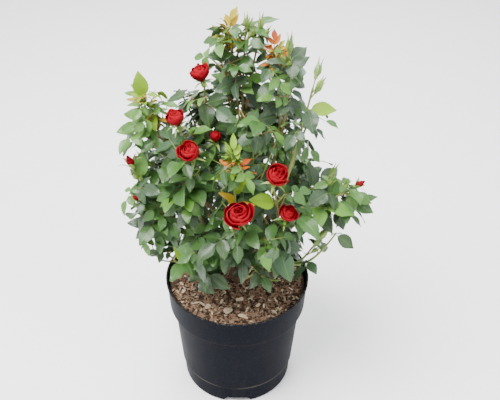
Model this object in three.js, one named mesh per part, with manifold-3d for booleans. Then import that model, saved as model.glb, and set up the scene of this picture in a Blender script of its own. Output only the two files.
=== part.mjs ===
// A rose bush in its black nursery pot: pot, potting soil, stump, boughs, masses of leafy shoots and red blooms.
// Millimetres, +Z up, +X to the right and +Y to the back. The origin is the centre of the pot's flat underside.
import * as THREE from "three";
import { mergeVertices } from "three/addons/utils/BufferGeometryUtils.js";
import Module from "manifold-3d";

const wasm = await Module();
wasm.setup();

// ---- driving sizes ----

const clearance = 0.3; // between any two solids that meet

const pot = {
  height: 205,
  rimRadius: 113,
  skirtHeight: 50, // the wide collar under the rim
  skirtRadius: 109, // outside, at the collar's lower edge
  bodyRadius: 102, // just under the collar
  footHeight: 37, // the narrower band that nests in the next pot
  footRadius: 91.5,
  baseRadius: 89.5,
  wall: 2,
  floor: 13,
  grooveHeight: 7, // drainage groove under the floor
  grooveInner: 30,
  grooveOuter: 68,
  slots: 3, // drainage slots in the foot
  slotHeight: 11,
  slotTop: 32,
  slotFoot: 50,
  drains: 6,
  drainRadius: 5,
  sides: 30,
};

const soil = { top: 190, crown: 3, ripple: 1.6, gap: 1.4, sides: 20 };

const trunk = { x: 4, y: 8, height: 42, flare: 18, waist: 13, top: 14.5, sides: 9, steps: 4 };

const limb = { base: 4.6, sideBase: 3.8, tip: 2.6, sides: 5, steps: 3 };

const shoot = {
  base: 2.1,
  tip: 1.2,
  steps: 3,
  bend: 0.42, // how far a shoot follows its bough's heading before it turns, as a share of its length
  leafGap: 14,
  firstLeaf: 10,
  turn: 137.5, // degrees from one leaf to the next
  tries: 8, // headings round the shoot that a leaf tries before it is left out
  marks: [[0.1, 66], [0.4, 64], [0.7, 58], [0.97, 42]], // where along it its space is marked, and the reach there
  sprigEvery: 3, // every third leaf is a side sprig with leaves of its own
  sprig: 44,
  bare: { bloom: 22, buds: 16, young: 6, leaves: 4 }, // the top without leaves, below what ends it
};

const leaf = {
  length: 80,
  width: 0.71, // of the blade's length
  near: 0.43, // where the blade's corners stand along it, and how far out
  nearSide: 0.86,
  far: 0.76,
  farSide: 0.84,
  thickness: 1.3,
  sag: 0.12,
  droop: 12, // degrees
  sideAngle: 62,
  sideSize: 0.72,
  rise: 24, // degrees towards the shoot's tip
  room: 18, // between the middle lines of two leaves
  woodRoom: 5.5, // between a leaf and the axis of a limb
  light: 40, // how far from other leaves a leaf seeks to turn
  hem: 60, // how far out a leaf reaches at soil level, so that the rim stays bare
  hemSlope: 1, // and how much further for each mm up
};

// Each mass of leafy shoots: the limb its bough leaves, how far along, where the bough forks, and its shoots.
// A fork and a tip are mm right of, behind and above the middle of the pot's underside.
// out is how early the bough turns outwards, size scales its leaves, and a bloom has a width and a height.
// bare is the share of a shoot's leaves that its lower end has lost.
// A mass with no bough of its own starts on the trunk.
const masses = [
  {
    name: "crown_top", from: "trunk", out: 0.5, fork: [6, 12, 396], size: 0.95,
    shoots: [
      { tip: [10, 0, 608], end: "buds" },
      { tip: [-10, 4, 602], end: "young" },
      { tip: [28, 8, 600], end: "buds" },
      { tip: [-22, 26, 562], end: "leaves", bare: 0.4 },
    ],
  },
  {
    name: "crown_right", from: "crown_top", at: 0.42, out: 0.6, fork: [46, -6, 404], size: 0.9,
    shoots: [
      { tip: [46, -6, 586], end: "young" },
      { tip: [64, -22, 580], end: "buds" },
      { tip: [70, 6, 552], end: "leaves" },
    ],
  },
  {
    name: "right_high", from: "right_mid", at: 0.5, out: 0.45, fork: [64, -44, 404], size: 0.8,
    shoots: [
      { tip: [97, -24, 545], end: "buds", bare: 0.55 },
      { tip: [96, -32, 512], end: "leaves", bare: 0.75 },
    ],
  },
  {
    name: "heart", from: "trunk", out: 0.5, fork: [14, -34, 336], size: 1.1,
    shoots: [
      { tip: [22, -44, 500], end: "leaves" },
      { tip: [-28, -26, 456], end: "bloom", bloom: [15, 18], lean: 0.1 },
      { tip: [-24, -66, 412], end: "leaves" },
      { tip: [50, -46, 476], end: "leaves" },
    ],
  },
  {
    name: "upper_left", from: "trunk", out: 0.55, fork: [-34, 8, 376], size: 1,
    shoots: [
      { tip: [-43, 2, 532], end: "bloom", bloom: [27, 25], lean: 0.25 },
      { tip: [-68, 22, 496], end: "leaves" },
      { tip: [-16, -10, 508], end: "leaves" },
    ],
  },
  {
    name: "far_left", from: "upper_left", at: 0.55, out: 0.6, fork: [-88, -10, 410], size: 0.9,
    shoots: [
      { tip: [-124, -12, 526], end: "young" },
      { tip: [-133, -22, 494], end: "leaves", bare: 0.25 },
      { tip: [-110, -4, 496], end: "leaves", bare: 0.3 },
    ],
  },
  {
    name: "left_blooms", from: "left_mid", at: 0.5, out: 0.4, fork: [-58, -54, 372], size: 0.95,
    shoots: [
      { tip: [-73, -50, 496], end: "bloom", bloom: [25, 26], lean: 0.3 },
      { tip: [-55, -82, 468], end: "bloom", bloom: [29, 26], lean: 0.4 },
    ],
  },
  {
    name: "left_mid", from: "trunk", out: 0.6, fork: [-78, -38, 318], size: 0.85,
    shoots: [
      { tip: [-134, -50, 424], end: "buds" },
      { tip: [-128, -62, 388], end: "buds" },
      { tip: [-142, -50, 344], end: "leaves" },
    ],
  },
  {
    name: "left_skirt", out: 0.35, fork: [-62, -28, 246], size: 0.8,
    shoots: [
      { tip: [-102, -58, 300], end: "leaves" },
      { tip: [-94, -8, 310], end: "leaves" },
    ],
  },
  {
    name: "front_bloom", from: "trunk", out: 0.55, fork: [2, -66, 304], size: 1,
    shoots: [
      { tip: [2, -116, 398], end: "bloom", bloom: [38, 30], lean: 0.55 },
      { tip: [-5, -90, 470], end: "young" },
      { tip: [-46, -106, 352], end: "leaves" },
    ],
  },
  {
    name: "front_right", from: "front_bloom", at: 0.5, out: 0.55, fork: [44, -68, 338], size: 1,
    shoots: [
      { tip: [46, -95, 440], end: "bloom", bloom: [30, 30], lean: 0.45 },
      { tip: [62, -94, 382], end: "bloom", bloom: [24, 24], lean: 0.5 },
      { tip: [36, -112, 366], end: "leaves" },
    ],
  },
  {
    name: "right_mid", from: "trunk", out: 0.6, fork: [82, -34, 330], size: 0.95,
    shoots: [
      { tip: [124, -34, 406], end: "buds" },
      { tip: [150, -50, 400], end: "buds" },
      { tip: [170, -34, 372], end: "leaves" },
    ],
  },
  {
    name: "right_low", from: "right_mid", at: 0.45, out: 0.4, fork: [78, -60, 282], size: 0.85,
    shoots: [
      { tip: [138, -70, 344], end: "leaves", bare: 0.5 },
      { tip: [108, -62, 312], end: "buds", bare: 0.3 },
    ],
  },
  {
    name: "right_skirt", out: 0.35, fork: [46, -18, 250], size: 0.7,
    shoots: [
      { tip: [80, -54, 306], end: "leaves" },
      { tip: [78, 4, 316], end: "leaves" },
    ],
  },
  {
    name: "front_left_skirt", out: 0.35, fork: [-34, -48, 252], size: 1.05,
    shoots: [
      { tip: [-66, -84, 300], end: "leaves" },
      { tip: [-34, -94, 268], end: "leaves" },
    ],
  },
  {
    name: "front_skirt", out: 0.35, fork: [8, -48, 244], size: 1.05,
    shoots: [
      { tip: [6, -98, 276], end: "leaves" },
      { tip: [34, -84, 296], end: "leaves" },
    ],
  },
  {
    name: "front_right_skirt", out: 0.35, fork: [38, -44, 240], size: 1,
    shoots: [{ tip: [62, -84, 268], end: "leaves" }],
  },
  {
    name: "back_high", from: "crown_top", at: 0.36, out: 0.6, fork: [-6, 64, 372], size: 1,
    shoots: [
      { tip: [22, 98, 424], end: "bloom", bloom: [32, 28], lean: 0.4 },
      { tip: [-36, 78, 470], end: "leaves" },
      { tip: [52, 66, 464], end: "leaves" },
    ],
  },
  {
    name: "back_left", from: "trunk", out: 0.6, fork: [-62, 58, 318], size: 0.95,
    shoots: [
      { tip: [-84, 92, 368], end: "bloom", bloom: [30, 28], lean: 0.45 },
      { tip: [-124, 46, 384], end: "buds" },
      { tip: [-100, 40, 420], end: "leaves" },
    ],
  },
  {
    name: "back_right", from: "trunk", out: 0.6, fork: [66, 56, 320], size: 0.95,
    shoots: [
      { tip: [84, 98, 334], end: "bloom", bloom: [27, 26], lean: 0.5 },
      { tip: [112, 56, 338], end: "buds" },
      { tip: [92, 30, 372], end: "leaves" },
    ],
  },
  {
    name: "back_low", from: "trunk", out: 0.55, fork: [4, 78, 288], size: 1,
    shoots: [
      { tip: [16, 124, 362], end: "bloom", bloom: [34, 28], lean: 0.55 },
      { tip: [-38, 118, 326], end: "leaves" },
      { tip: [52, 114, 320], end: "leaves" },
    ],
  },
  {
    name: "back_left_skirt", out: 0.35, fork: [-44, 46, 244], size: 0.95,
    shoots: [
      { tip: [-92, 76, 290], end: "leaves" },
      { tip: [-34, 100, 270], end: "leaves" },
    ],
  },
  {
    name: "back_right_skirt", out: 0.35, fork: [48, 46, 244], size: 0.95,
    shoots: [
      { tip: [92, 74, 290], end: "leaves" },
      { tip: [38, 100, 266], end: "leaves" },
    ],
  },
];

// ---- small tools ----

const up = new THREE.Vector3(0, 0, 1);
const vec = ([x, y, z]) => new THREE.Vector3(x, y, z);
const radians = THREE.MathUtils.degToRad;
const mix = THREE.MathUtils.lerp;

// The minimal standard generator: the same numbers from the same seed.
function seeded(seed) {
  const modulus = 2147483647;
  let state = (seed * 7919 + 12345) % modulus;
  return () => {
    state = (state * 48271) % modulus;
    return state / modulus;
  };
}

function solidOf(geometry) {
  const bare = geometry.clone();
  bare.deleteAttribute("normal");
  bare.deleteAttribute("uv");
  const merged = mergeVertices(bare, 1e-4);
  const mesh = new wasm.Mesh({
    numProp: 3,
    vertProperties: merged.attributes.position.array,
    triVerts: new Uint32Array(merged.index.array),
  });
  return new wasm.Manifold(mesh);
}

function geometryOf(solid) {
  const mesh = solid.getMesh();
  const places = new Float32Array(mesh.numVert * 3);
  for (let i = 0; i < mesh.numVert; i++) {
    places.set(mesh.vertProperties.subarray(i * mesh.numProp, i * mesh.numProp + 3), i * 3);
  }
  const geometry = new THREE.BufferGeometry()
    .setAttribute("position", new THREE.BufferAttribute(places, 3))
    .setIndex(new THREE.BufferAttribute(mesh.triVerts, 1));
  return geometry;
}

// The biggest body of a solid, without loose scraps.
const biggest = (solid) => solid.decompose().sort((a, b) => b.volume() - a.volume())[0];
const fuse = (solids) => biggest(wasm.Manifold.union(solids));

// Solids with their boxes, to ask quickly which of them a new one touches.
function crowd(solids) {
  const members = [];
  const join = (solid) => members.push({ solid, box: solid.boundingBox() });
  const near = (solid) => {
    const { min, max } = solid.boundingBox();
    return members.filter(({ box }) => [0, 1, 2].every((k) => min[k] <= box.max[k] && max[k] >= box.min[k]));
  };
  const touches = (solid) => near(solid).some((member) => !member.solid.intersect(solid).isEmpty());
  const cutFrom = (solid) => biggest(near(solid).reduce((left, member) => left.subtract(member.solid), solid));
  solids.forEach(join);
  return { join, touches, cutFrom };
}

// A profile of [radius, height] pairs turned round Z.
function turned(profile, sides) {
  const points = profile.map(([r, z]) => new THREE.Vector2(r, z));
  return new THREE.LatheGeometry(points, sides).rotateX(Math.PI / 2);
}

// A tapering limb with flat ends: a cylinder bent along part of a plane curve. root narrows its first ring.
function limbGeometry(curve, from, to, startRadius, endRadius, sides, steps, root = 1) {
  const [a, b, c] = [curve.v0, curve.v1, curve.v2];
  const across = b.clone().sub(a).cross(c.clone().sub(a));
  if (across.length() < 1e-3) across.set(1, 0, 0).cross(c.clone().sub(a));
  across.normalize();
  const geometry = new THREE.CylinderGeometry(1, 1, 1, sides, steps);
  const place = geometry.attributes.position;
  for (let i = 0; i < place.count; i++) {
    const share = place.getY(i) + 0.5;
    const t = mix(from, to, share);
    const tangent = curve.getTangent(t);
    const over = across.clone().cross(tangent);
    const radius = mix(startRadius, endRadius, share) * (share < 1e-6 ? root : 1);
    const point = curve.getPoint(t)
      .addScaledVector(across, place.getX(i) * radius)
      .addScaledVector(over, place.getZ(i) * radius);
    place.setXYZ(i, point.x, point.y, point.z);
  }
  return geometry;
}

// The point of a limb's own axis, which runs straight between its rings.
function axisPoint(curve, from, to, steps, t) {
  const ring = THREE.MathUtils.clamp(((t - from) / (to - from)) * steps, 0, steps - 1e-6);
  const low = curve.getPoint(mix(from, to, Math.floor(ring) / steps));
  const high = curve.getPoint(mix(from, to, (Math.floor(ring) + 1) / steps));
  return low.lerp(high, ring % 1);
}

// ---- pot and soil ----

function potSolid() {
  const p = pot;
  const lip = p.height;
  const collar = p.height - p.skirtHeight;
  const inner = (radius) => radius - p.wall;
  const shell = solidOf(turned([
    [0, 0],
    [p.grooveInner - 4, 0],
    [p.grooveInner, p.grooveHeight],
    [p.grooveOuter, p.grooveHeight],
    [p.grooveOuter + 4, 0],
    [p.baseRadius - 2.5, 0],
    [p.baseRadius, 2.5],
    [p.footRadius, p.footHeight - 2],
    [p.footRadius + 2, p.footHeight],
    [p.bodyRadius, collar - 2],
    [p.skirtRadius, collar],
    [p.rimRadius - 1.6, lip - 5],
    [p.rimRadius, lip - 2.5],
    [p.rimRadius - 0.6, lip],
    [p.rimRadius - 2.6, lip],
    [p.rimRadius - 3.6, lip - 5],
    [inner(p.skirtRadius), collar + 2],
    [inner(p.bodyRadius), collar - 1],
    [inner(p.footRadius) + 1.5, p.footHeight],
    [inner(p.footRadius), p.footHeight - 3],
    [inner(p.baseRadius), p.floor],
    [0, p.floor],
  ], p.sides));
  const cuts = [];
  for (let n = 0; n < p.slots; n++) {
    cuts.push(solidOf(slotGeometry().rotateZ((n / p.slots) * 2 * Math.PI)));
  }
  const drainCircle = (p.grooveInner + p.grooveOuter) / 2;
  for (let n = 0; n < p.drains; n++) {
    const around = ((n + 0.5) / p.drains) * 2 * Math.PI;
    const drain = new THREE.CylinderGeometry(p.drainRadius, p.drainRadius, 2 * p.floor, 6)
      .rotateX(Math.PI / 2)
      .translate(drainCircle * Math.cos(around), drainCircle * Math.sin(around), p.floor);
    cuts.push(solidOf(drain));
  }
  return shell.subtract(wasm.Manifold.union(cuts));
}

// The cutter of one slot: a wedge that runs out through the front of the foot.
function slotGeometry() {
  const depth = pot.rimRadius - pot.grooveOuter;
  const below = 1;
  const shape = new THREE.Shape([
    new THREE.Vector2(-pot.slotFoot / 2, -below),
    new THREE.Vector2(pot.slotFoot / 2, -below),
    new THREE.Vector2(pot.slotTop / 2, pot.slotHeight),
    new THREE.Vector2(-pot.slotTop / 2, pot.slotHeight),
  ]);
  return new THREE.ExtrudeGeometry(shape, { depth, bevelEnabled: false })
    .rotateX(Math.PI / 2)
    .translate(0, -pot.grooveOuter - 6, 0);
}

function soilSolid() {
  const p = pot;
  const collar = p.height - p.skirtHeight;
  const inside = (radius) => radius - p.wall - soil.gap;
  const edge = mix(inside(p.skirtRadius), p.rimRadius - 3.6, (soil.top - collar) / p.skirtHeight) - soil.gap;
  const geometry = turned([
    [0, p.floor + clearance],
    [inside(p.baseRadius) - 1, p.floor + clearance],
    [inside(p.footRadius) - 1, p.footHeight],
    [inside(p.bodyRadius) - 1, collar - 2],
    [inside(p.skirtRadius) - 0.5, collar + 3],
    [edge, soil.top - 2],
    [edge * 0.86, soil.top],
    [edge * 0.55, soil.top],
    [edge * 0.28, soil.top + soil.crown],
    [0, soil.top + soil.crown],
  ], soil.sides);
  const place = geometry.attributes.position;
  for (let i = 0; i < place.count; i++) {
    const [x, y, z] = [place.getX(i), place.getY(i), place.getZ(i)];
    const reach = Math.hypot(x, y);
    if (z >= soil.top && reach > edge * 0.4) {
      place.setZ(i, z + soil.ripple * Math.sin(x / 9 + 1) * Math.cos(y / 11));
    }
  }
  return solidOf(geometry);
}

// ---- wood ----

// The stump: flat where it stands on the soil, flared at the foot and knobbed where the canes leave it.
function trunkSolid(extra = 0) {
  const foot = soil.top + soil.crown + clearance;
  const lean = new THREE.Vector3(2, -3, trunk.height);
  const geometry = new THREE.CylinderGeometry(1, 1, 1, trunk.sides, trunk.steps);
  const place = geometry.attributes.position;
  for (let i = 0; i < place.count; i++) {
    const share = place.getY(i) + 0.5;
    const around = Math.atan2(place.getX(i), place.getZ(i));
    const body = mix(trunk.flare, trunk.waist, Math.min(1, share * 2));
    const head = Math.max(0, share - 0.5) * 2 * (trunk.top - trunk.waist);
    const knob = 1 + 0.08 * Math.sin(3 * around + 2 * share);
    const reach = Math.hypot(place.getX(i), place.getZ(i)) * ((body + head) * knob + extra);
    const point = new THREE.Vector3(trunk.x, trunk.y, foot)
      .addScaledVector(lean, share)
      .add(new THREE.Vector3(reach * Math.sin(around), -reach * Math.cos(around), 0));
    if (share > 0.99) point.z += extra;
    place.setXYZ(i, point.x, point.y, point.z);
  }
  return solidOf(geometry);
}

const boughShare = 0.88; // of the way to the fork, where the bough ends and its mass begins

// Where a limb leaves what carries it.
function limbStart(mass, curves) {
  if (curves.has(mass.from)) return curves.get(mass.from).getPoint(mass.at);
  const fork = vec(mass.fork);
  const away = new THREE.Vector3(fork.x - trunk.x, fork.y - trunk.y, 0).normalize();
  const height = soil.top + soil.crown + trunk.height * (mass.from ? 0.8 : 0.36);
  return new THREE.Vector3(trunk.x, trunk.y, height).addScaledVector(away, trunk.waist * 0.4);
}

// The plane curve of a limb, from where it leaves to its fork.
function limbCurve(mass, curves) {
  const start = limbStart(mass, curves);
  const fork = vec(mass.fork);
  const turn = new THREE.Vector3(
    mix(start.x, fork.x, mass.out),
    mix(start.y, fork.y, mass.out),
    mix(start.z, fork.z, 1.08 - mass.out),
  );
  return new THREE.QuadraticBezierCurve3(start, turn, fork);
}

// ---- leaves, buds and blooms ----

// A blade of eight faces with six corners, that runs along +X from the origin.
function bladeGeometry(length, width, sag) {
  const geometry = new THREE.OctahedronGeometry(1);
  const place = geometry.attributes.position;
  for (let i = 0; i < place.count; i++) {
    const corner = [place.getX(i), place.getY(i), place.getZ(i)].findIndex((value) => Math.abs(value) > 0.5);
    const first = place.getComponent(i, corner) > 0;
    const [along, side] = [
      first ? [0, 0] : [1, 0],
      first ? [leaf.far, -leaf.farSide] : [leaf.near, leaf.nearSide],
      first ? [leaf.far, leaf.farSide] : [leaf.near, -leaf.nearSide],
    ][corner];
    const height = (first ? 0.5 : -0.5) * leaf.thickness - along * along * sag * length;
    place.setXYZ(i, along * length, (side * width) / 2, height);
  }
  return geometry;
}

// A closed bud of eight faces on its stalk, from the origin along +X.
function budGeometry(length, radius) {
  const geometry = new THREE.OctahedronGeometry(1);
  const place = geometry.attributes.position;
  for (let i = 0; i < place.count; i++) {
    const along = place.getX(i) < -0.5 ? 0 : place.getX(i) > 0.5 ? 1 : 0.72;
    place.setXYZ(i, along * length, place.getY(i) * radius, place.getZ(i) * radius);
  }
  return geometry;
}

// Puts a geometry made along +X, with +Z up, at a point, along a heading, facing a normal.
function placed(geometry, point, heading, normal) {
  const x = heading.clone().normalize();
  const y = normal.clone().cross(x).normalize();
  const z = x.clone().cross(y);
  return geometry.applyMatrix4(new THREE.Matrix4().makeBasis(x, y, z).setPosition(point));
}

// An open bloom on +Z: rings of petals with five lobes, each ring turned against the one outside it.
function bloomGeometry(width, height) {
  const lobes = 5;
  const rings = [
    [0, 0, 0, 0],
    [0.66, 0.14, 0, 0],
    [1, 0.74, 0.09, 0.04],
    [0.76, 0.66, 0.05, 0],
    [0.6, 0.95, 0.12, 0.05],
    [0.3, 0.8, 0.08, 0],
    [0, 0.96, 0, 0],
  ];
  const geometry = turned(rings.map(([r, z], n) => [r * 1000, z * 1000 + n * 1e-3]), 2 * lobes);
  const place = geometry.attributes.position;
  const perColumn = rings.length;
  for (let i = 0; i < place.count; i++) {
    const n = i % perColumn;
    const [r, z, wave, lift] = rings[n];
    const around = (Math.floor(i / perColumn) / (2 * lobes)) * 2 * Math.PI;
    const lobe = Math.cos(lobes * around + n * Math.PI);
    const reach = (width / 2) * r * (1 - wave / 2 + (wave / 2) * lobe) * (1 + 0.03 * Math.sin(around + n));
    const rise = height * (z + lift * lobe);
    place.setXYZ(i, reach * Math.cos(around), reach * Math.sin(around), rise);
  }
  return geometry;
}

// ---- how a shoot grows ----

// A frame across a shoot: two directions square to its tangent.
function across(tangent) {
  const flat = Math.abs(tangent.z) > 0.98 ? new THREE.Vector3(1, 0, 0) : up;
  const first = tangent.clone().cross(flat).normalize();
  return [first, first.clone().cross(tangent).normalize()];
}

// One leaf's pose. It leaves the shoot sideways, levels out and turns its face up and outwards.
function leafPose({ point, tangent, around, rise, roll, size }) {
  const [first, second] = across(tangent);
  const heading = first.multiplyScalar(Math.cos(around))
    .addScaledVector(second, Math.sin(around))
    .multiplyScalar(Math.cos(rise))
    .addScaledVector(tangent, Math.sin(rise));
  heading.z = THREE.MathUtils.clamp(heading.z, -0.32, 0.5);
  heading.normalize();
  const outwards = new THREE.Vector3(point.x - trunk.x, point.y - trunk.y, 0).normalize();
  const normal = up.clone().addScaledVector(outwards, 0.4);
  normal.addScaledVector(heading, -normal.dot(heading)).normalize().applyAxisAngle(heading, roll);
  return { point, tangent, heading, normal, size };
}

// The three blades of a leaf: each has its root on the shoot's axis.
function leafBlades({ point, tangent, heading, normal, size }) {
  return [0, -1, 1].map((hand) => {
    const away = heading.clone().applyAxisAngle(normal, hand * radians(leaf.sideAngle));
    const down = away.clone().applyAxisAngle(normal.clone().cross(away).normalize(), radians(leaf.droop));
    const root = point.clone().addScaledVector(tangent, -2.6 * Math.abs(hand) + 1.2 * hand);
    return { root, heading: down, normal, length: leaf.length * size * (hand ? leaf.sideSize : 1) };
  });
}

// A point of a blade, from how far along it is and how far to the side.
function bladePoint({ root, heading, normal, length }, along, side) {
  const aside = normal.clone().cross(heading).normalize();
  return root.clone()
    .addScaledVector(heading, along * length)
    .addScaledVector(aside, (side * leaf.width * length) / 2)
    .addScaledVector(heading.clone().cross(aside), -along * along * leaf.sag * length);
}

const outline = [
  [1, 0], [leaf.near, leaf.nearSide], [leaf.near, -leaf.nearSide], [leaf.far, leaf.farSide], [leaf.far, -leaf.farSide],
];

// True if a point is within reach of its own mass's marks, nearer them than any other's and inside the hem.
function inSpace(place, mass) {
  const hem = leaf.hem + leaf.hemSlope * (place.z - soil.top);
  if (Math.hypot(place.x, place.y) > hem) return false;
  let [own, other, within] = [null, null, false];
  for (const row of shoots) {
    for (const { point, reach } of row.marks) {
      const away = place.distanceTo(point);
      if (row.mass === mass) {
        within ||= away < reach;
        if (!own || away < own.away) own = { point, away };
      } else if (!other || away < other.away) {
        other = { point, away };
      }
    }
  }
  const lead = other.away ** 2 - own.away ** 2;
  return within && lead > 4 * clearance * own.point.distanceTo(other.point);
}

const spots = []; // the middle lines of the leaves that stand so far
const stations = []; // the axes of every limb and shoot
const middles = (blade) => [0.45, 0.72, 1].map((along) => bladePoint(blade, along, 0));
const nearAny = (place, places, room) => places.some((other) => other.distanceTo(place) < room);

function hasRoom(blade, mass) {
  const lines = middles(blade);
  const corners = outline.map(([along, side]) => bladePoint(blade, along, side));
  if (lines.some((place) => nearAny(place, spots, leaf.room))) return false;
  if ([...lines, ...corners].some((place) => nearAny(place, stations, leaf.woodRoom))) return false;
  return corners.every((place) => inSpace(place, mass));
}

// A leaf with what chance gives it, turned round its shoot to where most of its blades have room and light.
function growLeaf(point, tangent, turn, size, mass, draw) {
  const around = turn + radians(40) * (draw() - 0.5);
  const rise = radians(leaf.rise + 24 * (draw() - 0.5));
  const roll = radians(50) * (draw() - 0.5);
  const grownSize = size * (0.86 + 0.28 * draw());
  let [best, most] = [[], 0];
  for (let n = 0; n < shoot.tries; n++) {
    const turned = around + (n * 2 * Math.PI) / shoot.tries;
    const pose = leafPose({ point, tangent, around: turned, rise, roll, size: grownSize });
    const kept = leafBlades(pose).filter((blade) => hasRoom(blade, mass));
    const free = Math.min(leaf.light, ...kept.flatMap(middles).flatMap((p) => spots.map((spot) => spot.distanceTo(p))));
    if (kept.length && kept.length * leaf.light * 0.4 + free > most) {
      [best, most] = [kept, kept.length * leaf.light * 0.4 + free];
    }
  }
  best.forEach((blade) => spots.push(...middles(blade)));
  return best;
}

// Everything that one shoot carries: its sprigs, its blades and what ends it.
function grow({ mass, curve, tip, end, bare }, seed) {
  const draw = seeded(seed);
  const length = curve.v0.distanceTo(tip);
  const grown = { blades: [], sprigs: [], young: [], buds: [] };
  endShoot(grown, tip, curve.getTangent(1), end, mass, draw);
  const gap = shoot.leafGap * mass.size;
  const count = Math.floor((length - shoot.bare[end] - shoot.firstLeaf) / gap) + 1;
  const phase = 2 * Math.PI * draw();
  for (let n = Math.ceil(count * (bare ?? 0)); n < count; n++) {
    const t = (shoot.firstLeaf + n * gap) / length;
    const point = axisPoint(curve, 0, 1, shoot.steps, t);
    const tangent = curve.getTangent(t);
    const size = mass.size * mix(1.06, 0.68, t);
    const turn = phase + n * radians(shoot.turn);
    if (n % shoot.sprigEvery === shoot.sprigEvery - 1) {
      growSprig(grown, point, tangent, turn, size, mass, draw);
    } else {
      grown.blades.push(...growLeaf(point, tangent, turn, size, mass, draw));
    }
  }
  return grown;
}

// A side twig in place of a leaf, with a leaf half way and two at its end.
function growSprig(grown, point, tangent, turn, size, mass, draw) {
  const lean = 0.5 + 0.4 * draw();
  const length = shoot.sprig * size * (0.8 + 0.4 * draw());
  const spin = 6 * draw();
  for (let n = 0; n < shoot.tries; n++) {
    const around = turn + (n * 2 * Math.PI) / shoot.tries;
    const { heading } = leafPose({ point, tangent, around, rise: radians(leaf.rise), roll: 0, size });
    heading.addScaledVector(tangent, lean).normalize();
    const middle = point.clone().addScaledVector(heading, length * 0.5);
    const finish = point.clone().addScaledVector(heading, length * 0.9).addScaledVector(up, length * 0.12);
    if (![middle, finish].every((place) => inSpace(place, mass))) continue;
    if (spots.some((spot) => spot.distanceTo(finish) < leaf.room)) continue;
    const curve = new THREE.QuadraticBezierCurve3(point, middle, finish);
    grown.sprigs.push(curve);
    for (const [t, from] of [[0.5, 2], [0.97, 4.2], [0.9, 0.9]]) {
      const place = axisPoint(curve, 0, 1, 1, t);
      grown.blades.push(...growLeaf(place, curve.getTangent(t), from + spin, size * 0.84, mass, draw));
    }
    return;
  }
}

// What stands at a shoot's tip.
function endShoot(grown, tip, tangent, end, mass, draw) {
  const [first, second] = across(tangent);
  const spread = (around, lean) => tangent.clone()
    .addScaledVector(first, lean * Math.cos(around))
    .addScaledVector(second, lean * Math.sin(around))
    .normalize();
  const below = (reach) => tip.clone().addScaledVector(tangent, -reach);
  if (end === "leaves") {
    const spin = 6 * draw();
    for (let n = 0; n < 2; n++) {
      grown.blades.push(...growLeaf(below(2 + 3 * n), tangent, n * Math.PI + spin, mass.size * 0.8, mass, draw));
    }
  }
  if (end === "buds") {
    for (let n = 0; n < 3; n++) {
      const heading = spread(n * 2.1 + 6 * draw(), n === 0 ? 0.08 : 0.5);
      const length = (n === 0 ? 34 : 27) * (0.85 + 0.3 * draw());
      grown.buds.push({ root: below(1 + 7 * n), heading, length, radius: 4.2 });
    }
  }
  if (end === "young") {
    for (let n = 0; n < 5; n++) {
      const heading = spread(n * 2.4 + draw(), (n ? 0.6 : 0.15) + 0.5 * draw());
      grown.young.push({ root: below(1.5 + 6 * n), heading, length: (32 + 14 * draw()) * mass.size });
    }
  }
}

// ---- the plant ----

const leavesTrunk = (mass) => !mass.from || mass.from === "trunk";
const carriersFirst = [...masses.filter(leavesTrunk), ...masses.filter((mass) => !leavesTrunk(mass))];
const curves = new Map();
carriersFirst.forEach((mass) => curves.set(mass.name, limbCurve(mass, curves)));

// Shoots, each with its mass, its curve and the places that mark out its space.
const shoots = [];
for (const mass of masses) {
  const bough = curves.get(mass.name);
  for (const { tip, end, bloom, lean, bare } of mass.shoots) {
    const start = bough.getPoint(0.995);
    const finish = vec(tip);
    const turn = start.clone().addScaledVector(bough.getTangent(1), shoot.bend * start.distanceTo(finish));
    const curve = new THREE.QuadraticBezierCurve3(start, turn, finish);
    const marks = shoot.marks.map(([t, reach]) => ({ point: curve.getPoint(t), reach: reach * mass.size }));
    shoots.push({ mass, end, bloom, lean, bare, curve, marks, tip: finish });
  }
}
for (const curve of [...curves.values(), ...shoots.map((row) => row.curve)]) {
  stations.push(...curve.getSpacedPoints(Math.ceil(curve.getLength() / 7)));
}
shoots.forEach((row, n) => { row.grown = grow(row, n + 1); });

// A bloom's own axis, tilted from upright towards the outside.
function bloomAxis({ tip, lean }) {
  const outwards = new THREE.Vector3(tip.x - trunk.x, tip.y - trunk.y, 0).normalize();
  return up.clone().addScaledVector(outwards, lean).normalize();
}

const hip = { length: 9, radius: 3.6 }; // the green swelling under a bloom

function bloomSolid(shootRow, extra = 0) {
  const [width, height] = shootRow.bloom;
  const axis = bloomAxis(shootRow);
  const geometry = bloomGeometry(width + 2 * extra, height + extra);
  const turn = new THREE.Quaternion().setFromUnitVectors(up, axis);
  const foot = shootRow.tip.clone().addScaledVector(axis, hip.length + clearance - extra / 2);
  return solidOf(geometry.applyQuaternion(turn).translate(foot.x, foot.y, foot.z));
}

// The woody part of a mass: its stem and every shoot.
function woodGeometries(mass, extra = 0) {
  const curve = curves.get(mass.name);
  const from = mass.from ? boughShare + (2 * clearance) / curve.getLength() : 0;
  const steps = mass.from ? 1 : limb.steps;
  const made = [limbGeometry(curve, from, 1, limb.tip + 0.5 + extra, limb.tip + 0.3 + extra, limb.sides, steps)];
  for (const row of shoots.filter((s) => s.mass === mass)) {
    made.push(limbGeometry(row.curve, 0, 1, shoot.base + extra, shoot.tip + extra, 3, shoot.steps, 0.4));
  }
  return made;
}

const trunkMade = trunkSolid();
const trunkFat = trunkSolid(clearance);
const boughs = new Map();
const boughsFat = new Map();
for (const mass of carriersFirst.filter((m) => m.from)) {
  const curve = curves.get(mass.name);
  const base = mass.from === "trunk" ? limb.base : limb.sideBase;
  const make = (extra) => solidOf(limbGeometry(
    curve, 0, boughShare, base + extra, limb.tip + extra, limb.sides, limb.steps,
  ));
  boughs.set(mass.name, crowd([trunkFat, ...boughsFat.values()]).cutFrom(make(0)));
  boughsFat.set(mass.name, make(clearance));
}

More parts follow.
